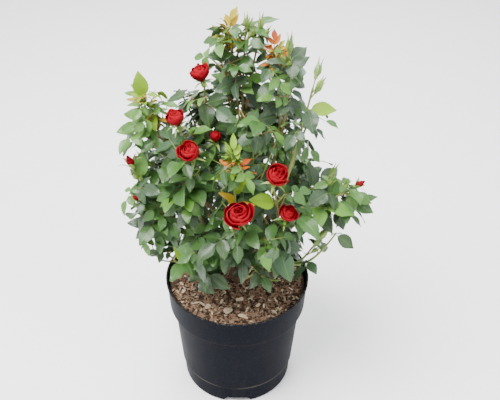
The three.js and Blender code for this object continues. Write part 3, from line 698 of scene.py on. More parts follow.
# each mass: its fork and size, how early its bough turns outwards, the limb this leaves and where, its shoots
masses = [
    newMass("crown_top", (6, 12, 396), 0.95, out=0.5, carrier="trunk", shoots=[
        shootTo((10, 0, 608), "buds"),
        shootTo((-10, 4, 602), "young"),
        shootTo((28, 8, 600), "buds"),
        shootTo((-22, 26, 562), bare=0.4),
    ]),
    newMass("crown_right", (46, -6, 404), 0.9, out=0.6, carrier="crown_top", at=0.42, shoots=[
        shootTo((46, -6, 586), "young"),
        shootTo((64, -22, 580), "buds"),
        shootTo((70, 6, 552)),
    ]),
    newMass("right_high", (64, -44, 404), 0.8, out=0.45, carrier="right_mid", at=0.5, shoots=[
        shootTo((97, -24, 545), "buds", bare=0.55),
        shootTo((96, -32, 512), bare=0.75),
    ]),
    newMass("heart", (14, -34, 336), 1.1, out=0.5, carrier="trunk", shoots=[
        shootTo((22, -44, 500)),
        shootTo((-28, -26, 456), "bloom", bloom=(15, 18), lean=0.1),
        shootTo((-24, -66, 412)),
        shootTo((50, -46, 476)),
    ]),
    newMass("upper_left", (-34, 8, 376), 1, out=0.55, carrier="trunk", shoots=[
        shootTo((-43, 2, 532), "bloom", bloom=(27, 25), lean=0.25),
        shootTo((-68, 22, 496)),
        shootTo((-16, -10, 508)),
    ]),
    newMass("far_left", (-88, -10, 410), 0.9, out=0.6, carrier="upper_left", at=0.55, shoots=[
        shootTo((-124, -12, 526), "young"),
        shootTo((-133, -22, 494), bare=0.25),
        shootTo((-110, -4, 496), bare=0.3),
    ]),
    newMass("left_blooms", (-58, -54, 372), 0.95, out=0.4, carrier="left_mid", at=0.5, shoots=[
        shootTo((-73, -50, 496), "bloom", bloom=(25, 26), lean=0.3),
        shootTo((-55, -82, 468), "bloom", bloom=(29, 26), lean=0.4),
    ]),
    newMass("left_mid", (-78, -38, 318), 0.85, out=0.6, carrier="trunk", shoots=[
        shootTo((-134, -50, 424), "buds"),
        shootTo((-128, -62, 388), "buds"),
        shootTo((-142, -50, 344)),
    ]),
    newMass("left_skirt", (-62, -28, 246), 0.8, out=0.35, shoots=[
        shootTo((-102, -58, 300)),
        shootTo((-94, -8, 310)),
    ]),
    newMass("front_bloom", (2, -66, 304), 1, out=0.55, carrier="trunk", shoots=[
        shootTo((2, -116, 398), "bloom", bloom=(38, 30), lean=0.55),
        shootTo((-5, -90, 470), "young"),
        shootTo((-46, -106, 352)),
    ]),
    newMass("front_right", (44, -68, 338), 1, out=0.55, carrier="front_bloom", at=0.5, shoots=[
        shootTo((46, -95, 440), "bloom", bloom=(30, 30), lean=0.45),
        shootTo((62, -94, 382), "bloom", bloom=(24, 24), lean=0.5),
        shootTo((36, -112, 366)),
    ]),
    newMass("right_mid", (82, -34, 330), 0.95, out=0.6, carrier="trunk", shoots=[
        shootTo((124, -34, 406), "buds"),
        shootTo((150, -50, 400), "buds"),
        shootTo((170, -34, 372)),
    ]),
    newMass("right_low", (78, -60, 282), 0.85, out=0.4, carrier="right_mid", at=0.45, shoots=[
        shootTo((138, -70, 344), bare=0.5),
        shootTo((108, -62, 312), "buds", bare=0.3),
    ]),
    newMass("right_skirt", (46, -18, 250), 0.7, out=0.35, shoots=[
        shootTo((80, -54, 306)),
        shootTo((78, 4, 316)),
    ]),
    newMass("front_left_skirt", (-34, -48, 252), 1.05, out=0.35, shoots=[
        shootTo((-66, -84, 300)),
        shootTo((-34, -94, 268)),
    ]),
    newMass("front_skirt", (8, -48, 244), 1.05, out=0.35, shoots=[
        shootTo((6, -98, 276)),
        shootTo((34, -84, 296)),
    ]),
    newMass("front_right_skirt", (38, -44, 240), 1, out=0.35, shoots=[
        shootTo((62, -84, 268)),
    ]),
    newMass("back_high", (-6, 64, 372), 1, out=0.6, carrier="crown_top", at=0.36, shoots=[
        shootTo((22, 98, 424), "bloom", bloom=(32, 28), lean=0.4),
        shootTo((-36, 78, 470)),
        shootTo((52, 66, 464)),
    ]),
    newMass("back_left", (-62, 58, 318), 0.95, out=0.6, carrier="trunk", shoots=[
        shootTo((-84, 92, 368), "bloom", bloom=(30, 28), lean=0.45),
        shootTo((-124, 46, 384), "buds"),
        shootTo((-100, 40, 420)),
    ]),
    newMass("back_right", (66, 56, 320), 0.95, out=0.6, carrier="trunk", shoots=[
        shootTo((84, 98, 334), "bloom", bloom=(27, 26), lean=0.5),
        shootTo((112, 56, 338), "buds"),
        shootTo((92, 30, 372)),
    ]),
    newMass("back_low", (4, 78, 288), 1, out=0.55, carrier="trunk", shoots=[
        shootTo((16, 124, 362), "bloom", bloom=(34, 28), lean=0.55),
        shootTo((-38, 118, 326)),
        shootTo((52, 114, 320)),
    ]),
    newMass("back_left_skirt", (-44, 46, 244), 0.95, out=0.35, shoots=[
        shootTo((-92, 76, 290)),
        shootTo((-34, 100, 270)),
    ]),
    newMass("back_right_skirt", (48, 46, 244), 0.95, out=0.35, shoots=[
        shootTo((92, 74, 290)),
        shootTo((38, 100, 266)),
    ]),
]

up = np.array((0.0, 0.0, 1.0))


def seeded(seed):
    # the minimal standard generator: the same numbers from the same seed
    state = (seed * 7919 + 12345) % 2147483647

    def draw():
        nonlocal state
        state = state * 48271 % 2147483647
        return state / 2147483647

    return draw


def unit(v):
    return v / (math.sqrt(v @ v) or 1)


def cross(a, b):
    return np.array((a[1] * b[2] - a[2] * b[1], a[2] * b[0] - a[0] * b[2], a[0] * b[1] - a[1] * b[0]))


def mix(a, b, share):
    return a + (b - a) * share


def turned(v, axis, angle):
    return v * math.cos(angle) + cross(axis, v) * math.sin(angle) + axis * (axis @ v) * (1 - math.cos(angle))


def pointOn(curve, t):
    a, b, c = curve
    return (1 - t) ** 2 * a + 2 * (1 - t) * t * b + t * t * c


def tangentOn(curve, t):
    return unit(pointOn(curve, min(t + 1e-4, 1)) - pointOn(curve, max(t - 1e-4, 0)))


def axisPoint(curve, steps, t):
    # the point of a limb's own axis, which runs straight between its rings
    ring = min(max(t * steps, 0), steps - 1e-6)
    low, high = pointOn(curve, math.floor(ring) / steps), pointOn(curve, (math.floor(ring) + 1) / steps)
    return mix(low, high, ring % 1)


evenShares = np.linspace(0, 1, 201)


def curveLength(curve):
    line = pointOn(curve, evenShares[:, None])
    return np.linalg.norm(np.diff(line, axis=0), axis=1).sum()


def spaced(curve, count):
    line = pointOn(curve, evenShares[:, None])
    lengths = np.concatenate([[0], np.cumsum(np.linalg.norm(np.diff(line, axis=0), axis=1))])
    even = np.interp(np.linspace(0, 1, count + 1) * lengths[-1], lengths, evenShares)
    return pointOn(curve, even[:, None])


def outwardsFrom(point):
    return unit(np.array((point[0] - trunk["x"], point[1] - trunk["y"], 0.0)))


def across(tangent):
    # two directions square to a tangent
    first = unit(cross(tangent, np.array((1.0, 0.0, 0.0)) if abs(tangent[2]) > 0.98 else up))
    return first, unit(cross(first, tangent))


def limbCurve(mass, curves):
    fork = np.array(mass["fork"], float)
    if mass.get("carrier") in curves:
        start = pointOn(curves[mass["carrier"]], mass["at"])
    else:
        height = soil["top"] + soil["crown"] + trunk["height"] * (0.8 if mass.get("carrier") else 0.36)
        start = np.array((trunk["x"], trunk["y"], height)) + outwardsFrom(fork) * trunk["waist"] * 0.4
    shares = np.array((mass["out"], mass["out"], 1.08 - mass["out"]))
    return start, mix(start, fork, shares), fork


curves = {}
for mass in sorted(masses, key=lambda mass: mass.get("carrier", "trunk") != "trunk"):
    curves[mass["name"]] = limbCurve(mass, curves)

shoots = []
for mass in masses:
    bough = curves[mass["name"]]
    for row in mass["shoots"]:
        start, tip = pointOn(bough, 0.995), np.array(row["tip"], float)
        turn = start + tangentOn(bough, 1) * shoot["bend"] * math.dist(start, tip)
        shoots.append({**row, "mass": mass, "curve": (start, turn, tip), "tip": tip})

markPlaces = np.array([pointOn(row["curve"], t) for row in shoots for t, _ in shoot["marks"]])
markReach = np.array([reach * row["mass"]["size"] for row in shoots for _, reach in shoot["marks"]])
markMass = np.array([masses.index(row["mass"]) for row in shoots for _ in shoot["marks"]])
marksOf = {}
for n, mass in enumerate(masses):
    own = markMass == n
    marksOf[mass["name"]] = (markPlaces[own], markReach[own], markPlaces[~own])

# points along all the wood, and along the leaves grown so far
woodLines = [*curves.values(), *(row["curve"] for row in shoots)]
stationCounts = [math.ceil(curveLength(curve) / leaf["stationGap"]) for curve in woodLines]
stations = np.concatenate([spaced(curve, count) for curve, count in zip(woodLines, stationCounts)])
spots = np.empty((0, 3))


def distances(first, second):
    return np.linalg.norm(first[:, None] - second[None], axis=2)


def inSpace(places, mass):
    # true if each place is in reach of its own mass's marks, nearer them than any other's, and inside the hem
    hem = leaf["hem"] + leaf["hemSlope"] * (places[:, 2] - soil["top"])
    if (np.hypot(places[:, 0], places[:, 1]) > hem).any():
        return False
    own, reach, other = marksOf[mass["name"]]
    toOwn, toOther = distances(places, own), distances(places, other)
    nearOwn, nearOther = toOwn.argmin(1), toOther.argmin(1)
    lead = toOther.min(1) ** 2 - toOwn.min(1) ** 2
    apart = np.linalg.norm(own[nearOwn] - other[nearOther], axis=1)
    return bool(((toOwn < reach).any(1) & (lead > 4 * clearance * apart)).all())


def leafPose(point, tangent, around, rise, roll):
    first, second = across(tangent)
    sideways = first * math.cos(around) + second * math.sin(around)
    heading = sideways * math.cos(rise) + tangent * math.sin(rise)
    heading[2] = min(max(heading[2], leaf["lowest"]), leaf["steepest"])
    heading = unit(heading)
    normal = up + outwardsFrom(point) * leaf["outwards"]
    return heading, turned(unit(normal - heading * (normal @ heading)), heading, roll)


def leafBlades(point, tangent, heading, normal, size):
    blades = []
    for hand in (0, -1, 1):
        away = turned(heading, normal, hand * math.radians(leaf["sideAngle"]))
        down = turned(away, unit(cross(normal, away)), math.radians(leaf["droop"]))
        root = point + tangent * (1.2 * hand - 2.6 * abs(hand))
        length = leaf["length"] * size * (leaf["sideSize"] if hand else 1)
        blades.append({"root": root, "heading": down, "normal": normal, "length": length, "hand": hand})
    return blades


def bladePoints(blade, places):
    # points of a blade, from how far along it they are and how far to the side
    aside = unit(cross(blade["normal"], blade["heading"]))
    drop = cross(blade["heading"], aside) * -leaf["sag"]
    along, side = np.array(places, float).T[:, :, None]
    place = blade["heading"] * along + aside * side * leaf["width"] / 2 + drop * along ** 2
    return blade["root"] + place * blade["length"]


middlePlaces = [(0.45, 0), (0.72, 0), (1, 0)]
cornerPlaces = [(1, 0)] + [(leaf[k], side * leaf[k + "Side"]) for k in ("near", "far") for side in (1, -1)]


def hasRoom(blade, mass, room):
    lines = bladePoints(blade, middlePlaces)
    corners = bladePoints(blade, cornerPlaces)
    if len(spots) and distances(lines, spots).min() < room:
        return False
    if distances(np.concatenate([lines, corners]), stations).min() < leaf["woodRoom"]:
        return False
    return inSpace(corners, mass)


def growLeaf(point, tangent, turn, size, mass, draw, room=leaf["room"]):
    global spots
    turnSpread, riseSpread, rollSpread = leaf["spread"]
    around = turn + math.radians(turnSpread) * (draw() - 0.5)
    rise = math.radians(leaf["rise"] + riseSpread * (draw() - 0.5))
    roll = math.radians(rollSpread) * (draw() - 0.5)
    grown = size * (0.86 + 0.28 * draw())
    best, most = [], 0
    for n in range(shoot["tries"]):
        heading, normal = leafPose(point, tangent, around + n * 2 * math.pi / shoot["tries"], rise, roll)
        blades = leafBlades(point, tangent, heading, normal, grown)
        kept = [blade for blade in blades if hasRoom(blade, mass, room)]
        if not kept:
            continue
        lines = np.concatenate([bladePoints(blade, middlePlaces) for blade in kept])
        free = min(leaf["light"], distances(lines, spots).min()) if len(spots) else leaf["light"]
        worth = len(kept) * leaf["light"] * 0.4 + free
        if worth > most:
            best, most, found = kept, worth, lines
    if best:
        spots = np.concatenate([spots, found])
    return best


def growSprig(grown, point, tangent, turn, size, mass, draw, room=leaf["room"]):
    lean = 0.5 + 0.4 * draw()
    length = shoot["sprig"] * size * (0.8 + 0.4 * draw())
    spin = 6 * draw()
    for n in range(shoot["tries"]):
        around = turn + n * 2 * math.pi / shoot["tries"]
        heading, _ = leafPose(point, tangent, around, math.radians(leaf["rise"]), 0)
        heading = unit(heading + tangent * lean)
        middle = point + heading * length * 0.5
        finish = point + heading * length * 0.9 + up * length * 0.12
        if not inSpace(np.array([middle, finish]), mass):
            continue
        if len(spots) and distances(finish[None], spots).min() < room:
            continue
        curve = (point, middle, finish)
        grown["sprigs"].append(curve)
        for t, start in shoot["sprigLeaves"]:
            root, tangent = axisPoint(curve, 1, t), tangentOn(curve, t)
            made = growLeaf(root, tangent, start + spin, size * 0.84, mass, draw, room)
            grown["leaves"].append({"blades": made, "curve": curve, "t": t, "top": 1})
        return


def endShoot(grown, row, draw):
    tip, tangent, mass = row["tip"], tangentOn(row["curve"], 1), row["mass"]
    first, second = across(tangent)

    def spread(around, lean):
        return unit(tangent + first * lean * math.cos(around) + second * lean * math.sin(around))

    if row["end"] == "leaves":
        spin = 6 * draw()
        for n in range(2):
            root, turn = tip - tangent * (2 + 3 * n), n * math.pi + spin
            made = growLeaf(root, tangent, turn, mass["size"] * 0.8, mass, draw)
            grown["leaves"].append({"blades": made, "curve": row["curve"], "t": 0.985 - 0.02 * n, "top": 1})
    if row["end"] == "buds":
        for n in range(3):
            heading = spread(n * 2.1 + 6 * draw(), 0.08 if n == 0 else 0.5)
            length = shoot["laterBud" if n else "firstBud"] * (0.85 + 0.3 * draw())
            grown["buds"].append({"root": tip - tangent * (1 + 7 * n), "heading": heading, "length": length})
    if row["end"] == "young":
        for n in range(5):
            around = n * 2.4 + draw()
            heading = spread(around, (0.6 if n else 0.15) + 0.5 * draw())
            length = (shoot["young"][0] + shoot["young"][1] * draw()) * mass["size"]
            root = tip - tangent * (1.5 + 6 * n)
            grown["young"].append({"root": root, "heading": heading, "length": length})


def grow(row, seed):
    draw = seeded(seed)
    mass, curve = row["mass"], row["curve"]
    length = math.dist(curve[0], row["tip"])
    grown = {"leaves": [], "sprigs": [], "young": [], "buds": []}
    endShoot(grown, row, draw)
    gap = shoot["leafGap"] * mass["size"]
    count = math.floor((length - shoot["bare"][row["end"]] - shoot["firstLeaf"]) / gap) + 1
    phase = 2 * math.pi * draw()
    for n in range(math.ceil(count * row.get("bare", 0)), count):
        t = (shoot["firstLeaf"] + n * gap) / length
        point, tangent = axisPoint(curve, shoot["steps"], t), tangentOn(curve, t)
        size = mass["size"] * mix(shoot["lowestSize"], shoot["topSize"], t)
        turn = phase + n * math.radians(shoot["turn"])
        if n % shoot["sprigEvery"] == shoot["sprigEvery"] - 1:
            growSprig(grown, point, tangent, turn, size, mass, draw)
        else:
            made = growLeaf(point, tangent, turn, size, mass, draw)
            grown["leaves"].append({"blades": made, "curve": curve, "t": t, "top": t})
    return grown


fine = {
    "room": 13.5, "gap": 9, "size": 0.98, "passes": 3, "lowest": 8, "sprigs": 0.5,
    "open": {  # the share of the finer growth that the masses with sky between their leaves keep
        "crown_right": 0.5, "right_high": 0.12, "right_mid": 0.5, "right_low": 0.2,
        "far_left": 0.35, "left_mid": 0.6, "left_skirt": 0.5, "right_skirt": 0.5,
        "front_skirt": 0.3, "front_left_skirt": 0.5, "front_right_skirt": 0.5,
    },
}


def growFiner(row, seed):
    # more leaves and twigs on the same shoot, where the source's leaves left room for smaller ones
    draw = seeded(seed)
    mass, curve, grown = row["mass"], row["curve"], row["grown"]
    length = math.dist(curve[0], row["tip"])
    top = length - shoot["bare"][row["end"]]
    place = fine["lowest"] + fine["gap"] * draw() + row.get("bare", 0) * top
    while place < top:
        t = place / length
        point, tangent = axisPoint(curve, shoot["steps"], t), tangentOn(curve, t)
        size = mass["size"] * mix(shoot["lowestSize"], shoot["topSize"], t) * fine["size"]
        place += fine["gap"] * (0.7 + 0.6 * draw())
        if draw() > fine["open"].get(mass["name"], 1):
            continue
        if draw() < fine["sprigs"]:
            growSprig(grown, point, tangent, 6.3 * draw(), size, mass, draw, fine["room"])
        else:
            made = growLeaf(point, tangent, 6.3 * draw(), size, mass, draw, fine["room"])
            grown["leaves"].append({"blades": made, "curve": curve, "t": t, "top": t})


for n, row in enumerate(shoots):
    row["grown"] = grow(row, n + 1)
for turn in range(fine["passes"]):
    for n, row in enumerate(shoots):
        growFiner(row, 200 + 100 * turn + n)
bladeCount = sum(len(item["blades"]) for row in shoots for item in row["grown"]["leaves"])
print("plant grown:", len(shoots), "shoots,", bladeCount, "leaves")


# stump and canes

wood = {
    "sides": 48, "rows": 30, "knuckles": 0.16, "bark": 1.6,
    "caneSides": 14, "caneStep": 3, "relief": 0.72, "grain": 160,
    "thickness": 0.003, "nodeGap": 24,
    "brown": "#5a4a33", "grey": "#7d7460", "olive": "#6f7340", "rust": "#7a4630",
    "prickleLength": 5, "prickleGap": 16, "horn": "#a8825c",
}


def barkMaterial(name, lower, upper, crack):
    material, tree, shader = newMaterial(name, Roughness=0.72, Specular_IOR_Level=0.35)
    streaks = mottle(tree, 110.0, 0.35, 0.7, (1.0, 1.0, 0.12))
    patches = mottle(tree, 42.0, 0.4, 0.66)
    height = heightOf(tree)
    tone = blendColour(tree, ramp(tree, height, 0.2, 0.36), lower, upper)
    tone = blendColour(tree, times(tree, patches["Mask"], 0.55), tone, wood["rust"])
    tone = blendColour(tree, times(tree, streaks["Mask"], 0.5), tone, wood["grey"])
    setColour(tree, shader, tone)
    bump(tree, shader, streaks["Height"], crack, 0.003)
    return material


def stumpMesh():
    # the source's flared foot and knobbed head, with knuckles below each cane and cracked bark
    foot = soil["top"] + soil["crown"] - 4
    base = Vector((trunk["x"], trunk["y"], foot))
    height = trunk["height"] + 5
    starts = [Vector(curve[0]) for curve in curves.values()]
    head = trunk["top"] - trunk["waist"]
    bm = bmesh.new()
    rings = []
    for k in range(wood["rows"] + 1):
        share = k / wood["rows"]
        dome = math.sqrt(max(0.0, 1 - (max(0, share - 0.86) / 0.14) ** 2))
        ring = []
        for n in range(wood["sides"]):
            around = 2 * math.pi * n / wood["sides"]
            body = mix(trunk["flare"], trunk["waist"], min(1, share * 2)) + max(0, share - 0.5) * 2 * head
            direction = Vector((math.sin(around), -math.cos(around), 0))
            centre = base + Vector((2, -3, height)) * share
            bulge = 0
            for start in starts:
                away = start - centre
                if away.length > 1:
                    bulge += max(0, direction.dot(away.normalized())) ** 6 * math.exp(-(away.z / 7) ** 2)
            surface = centre + direction * body
            grain = Vector((surface.x * 0.22, surface.y * 0.22, surface.z * 0.05))
            swell = 1 + 0.08 * math.sin(3 * around + 2 * share) + wood["knuckles"] * min(bulge, 1.2)
            reach = body * swell + wood["bark"] * noise.fractal(grain, 0.7, 2.2, 4)
            ring.append(bm.verts.new((centre + direction * max(reach, 1) * max(dome, 0.02)) * mm))
        rings.append(ring)
    for low, high in zip(rings, rings[1:]):
        for n in range(wood["sides"]):
            after = (n + 1) % wood["sides"]
            bm.faces.new((low[n], low[after], high[after], high[n]))
    bm.faces.new(list(reversed(rings[0])))
    bm.faces.new(rings[-1])
    bmesh.ops.recalc_face_normals(bm, faces=bm.faces)
    mesh = meshOf(bm, "stump")
    mesh.shade_smooth()
    return mesh


def curveObject(name, lines):
    # each line is a list of (point in mm, radius in mm)
    data = bpy.data.curves.new(name, "CURVE")
    data.dimensions = "3D"
    for line in lines:
        spline = data.splines.new("POLY")
        spline.points.add(len(line) - 1)
        spline.points.foreach_set("co", [value for point, _ in line for value in (*(point * mm), 1)])
        spline.points.foreach_set("radius", [radius * mm for _, radius in line])
    return link(bpy.data.objects.new(name, data))


def limbTree():
    # a tube along each curve by its own radius, roughened along its normals
    tree = bpy.data.node_groups.new("limbs", "GeometryNodeTree")
    inputs = [("Curves", "Geometry", None), ("Sides", "Int", 8), ("Relief", "Float", 0.1)]
    inputs += [("Grain", "Float", 200.0), ("Thickness", "Float", 0.003), ("Material", "Material", None)]
    start, end = sockets(tree, inputs, [("Geometry", "Geometry")])
    o = start.outputs
    section = put(tree, "GeometryNodeCurvePrimitiveCircle", {"Radius": 1.0}, {"Resolution": o["Sides"]})
    radius = tree.nodes.new("GeometryNodeInputRadius")
    tubes = put(
        tree, "GeometryNodeCurveToMesh", {"Fill Caps": True},
        {"Curve": o["Curves"], "Profile Curve": section.outputs["Curve"], "Scale": radius.outputs[0]},
    )
    cloud = put(tree, "ShaderNodeTexNoise", {"Detail": 3}, {"Scale": o["Grain"]})
    away = times(tree, minus(tree, cloud.outputs["Fac"], 0.5), times(tree, o["Relief"], o["Thickness"]))
    normal = tree.nodes.new("GeometryNodeInputNormal")
    push = put(tree, "ShaderNodeVectorMath", operation="SCALE")
    tree.links.new(normal.outputs[0], push.inputs[0])
    tree.links.new(away, push.inputs["Scale"])
    places = {"Geometry": tubes.outputs[0], "Offset": push.outputs[0]}
    rough = put(tree, "GeometryNodeSetPosition", {}, places)
    smooth = put(tree, "GeometryNodeSetShadeSmooth", {}, {"Geometry": rough.outputs[0]})
    real = put(tree, "GeometryNodeRealizeInstances", {}, {"Geometry": smooth.outputs[0]}).outputs[0]
    tree.links.new(painted(tree, real, o["Material"]), end.inputs["Geometry"])
    return tree


def tube(name, lines, tree, material, sides, relief=0.0, grain=200.0):
    values = {"Sides": sides, "Relief": relief, "Grain": grain, "Thickness": wood["thickness"]}
    return runTree(curveObject(name, lines), tree, {**values, "Material": material})


def limbLine(curve, first, last, startRadius, endRadius, step, nodes=0.0):
    # points and radii along part of a curve, swollen where a leaf once stood
    length = curveLength(curve)
    count = max(3, math.ceil(length * (last - first) / step))
    line = []
    for n in range(count + 1):
        t = mix(first, last, n / count)
        radius = mix(startRadius, endRadius, n / count)
        swell = nodes * max(0, math.cos(2 * math.pi * t * length / wood["nodeGap"])) ** 12
        line.append((pointOn(curve, t), radius * (1 + swell)))
    return line


def pointObject(name, points):
    # points with the turn, size, shape, tint and shade that an instance takes
    mesh = bpy.data.meshes.new(name)
    mesh.from_pydata([tuple(p["place"] * mm) for p in points], [], [])
    kinds = {"turn": "QUATERNION", "size": "FLOAT", "shape": "INT", "tint": "INT", "shade": "FLOAT"}
    for key, kind in kinds.items():
        values = [p[key] for p in points]
        if key == "turn":
            values = [part for turn in values for part in turn]
        if key == "size":
            values = [value * mm for value in values]
        mesh.attributes.new(key, kind, "POINT").data.foreach_set("value", values)
    return link(bpy.data.objects.new(name, mesh))


def shapePoint(place, turn, size, shape, shade, tint=0, **more):
    return {"place": place, "turn": turn, "size": size, "shape": shape, "tint": tint, "shade": shade, **more}


def growthTree(name, tints):
    # a shape on each point, painted by the point's tint
    tree = bpy.data.node_groups.new(name, "GeometryNodeTree")
    inputs = [("Points", "Geometry", None), ("Shapes", "Collection", None)]
    inputs += [(f"Tint {n}", "Material", None) for n in range(tints)]
    start, end = sockets(tree, inputs, [("Geometry", "Geometry")])
    o = start.outputs

    def attribute(key, kind="INT"):
        node = put(tree, "GeometryNodeInputNamedAttribute", {"Name": key}, data_type=kind)
        return node.outputs["Attribute"]

    turn, size, shape = attribute("turn", "QUATERNION"), attribute("size", "FLOAT"), attribute("shape")
    last = onPoints(tree, o["Points"], o["Shapes"], turn, size, shape)
    for n in range(tints):
        same = put(tree, "FunctionNodeCompare", data_type="INT", operation="EQUAL")
        tree.links.new(attribute("tint"), same.inputs[2])
        same.inputs[3].default_value = n
        last = painted(tree, last, o[f"Tint {n}"], Selection=same.outputs[0])
    tree.links.new(last, end.inputs["Geometry"])
    return tree


def instanced(name, points, tree, shapes, paints):
    values = {"Shapes": shapes, **{f"Tint {n}": paint for n, paint in enumerate(paints)}}
    return runTree(pointObject(name, points), tree, values)


def turnOf(heading, normal):
    # the turn that takes +X to a heading and +Z near a normal
    x = unit(heading)
    y = unit(cross(normal, x))
    return tuple(Matrix(np.array([x, y, cross(x, y)]).T.tolist()).to_quaternion())


def prickleShapes():
    # a hooked prickle along +X with a wide foot
    rings = [(0.0, 0.36, 0.16), (0.25, 0.2, 0.1), (0.6, 0.08, 0.06)]
    sides = 6
    verts = []
    for along, high, wide in rings:
        for n in range(sides):
            around = 2 * math.pi * n / sides
            verts.append((along, wide * math.cos(around), high * math.sin(around) - 0.35 * along ** 2))
    verts.append((1, 0, -0.5))
    faces = [
        (k * sides + n, k * sides + (n + 1) % sides, (k + 1) * sides + (n + 1) % sides, (k + 1) * sides + n)
        for k in range(len(rings) - 1) for n in range(sides)
    ]
    last = (len(rings) - 1) * sides
    faces += [(last + n, last + (n + 1) % sides, last + sides) for n in range(sides)]
    faces.append(tuple(range(sides - 1, -1, -1)))
    mesh = meshFrom("prickle", verts, faces)
    mesh.shade_smooth()
    return shapeSet("prickleShapes", [mesh])


def addWood(limbs):
    stump = meshObject("stump", stumpMesh(), [barkMaterial("stumpBark", wood["brown"], wood["brown"], 0.9)])
    finishPiece(stump, ["trunk"])
    caneBark = barkMaterial("caneBark", wood["brown"], wood["olive"], 0.5)
    lines, points = [], []
    draw = seeded(400)
    for mass in masses:
        curve = curves[mass["name"]]
        base = limb["base"] if mass.get("carrier") == "trunk" else limb["sideBase"]
        base = base if mass.get("carrier") else limb["tip"] + 0.8
        lines.append(limbLine(curve, 0, 1, base, limb["tip"], wood["caneStep"], nodes=0.14))
        length = curveLength(curve)
        for n in range(int(length / wood["prickleGap"]) - 1):
            t = min((n + 1 + 0.5 * draw()) * wood["prickleGap"] / length, 0.98)
            tangent = tangentOn(curve, t)
            first, second = across(tangent)
            around = 2 * math.pi * draw()
            away = first * math.cos(around) + second * math.sin(around)
            root = pointOn(curve, t) + away * mix(base, limb["tip"], t) * 0.9
            size = wood["prickleLength"] * (0.7 + 0.6 * draw())
            points.append(shapePoint(root, turnOf(away, tangent), size, 0, draw()))
    canes = tube("canes", lines, limbs, caneBark, wood["caneSides"], wood["relief"], wood["grain"])
    names = [f"bough_{mass['name']}" for mass in masses if mass.get("carrier")]
    finishPiece(meshObject("canes", canes), names)
    material, tree, shader = newMaterial("prickleHorn", Roughness=0.45)
    patches = mottle(tree, 90.0, 0.3, 0.7)
    setColour(tree, shader, blendColour(tree, patches["Mask"], wood["rust"], wood["horn"]))
    prickles = instanced("prickles", points, growthTree("pricklesOnCanes", 1), prickleShapes(), [material])
    finishPiece(meshObject("prickles", prickles))


limbs = limbTree()
addWood(limbs)
print("stump, canes and prickles")


# leaves

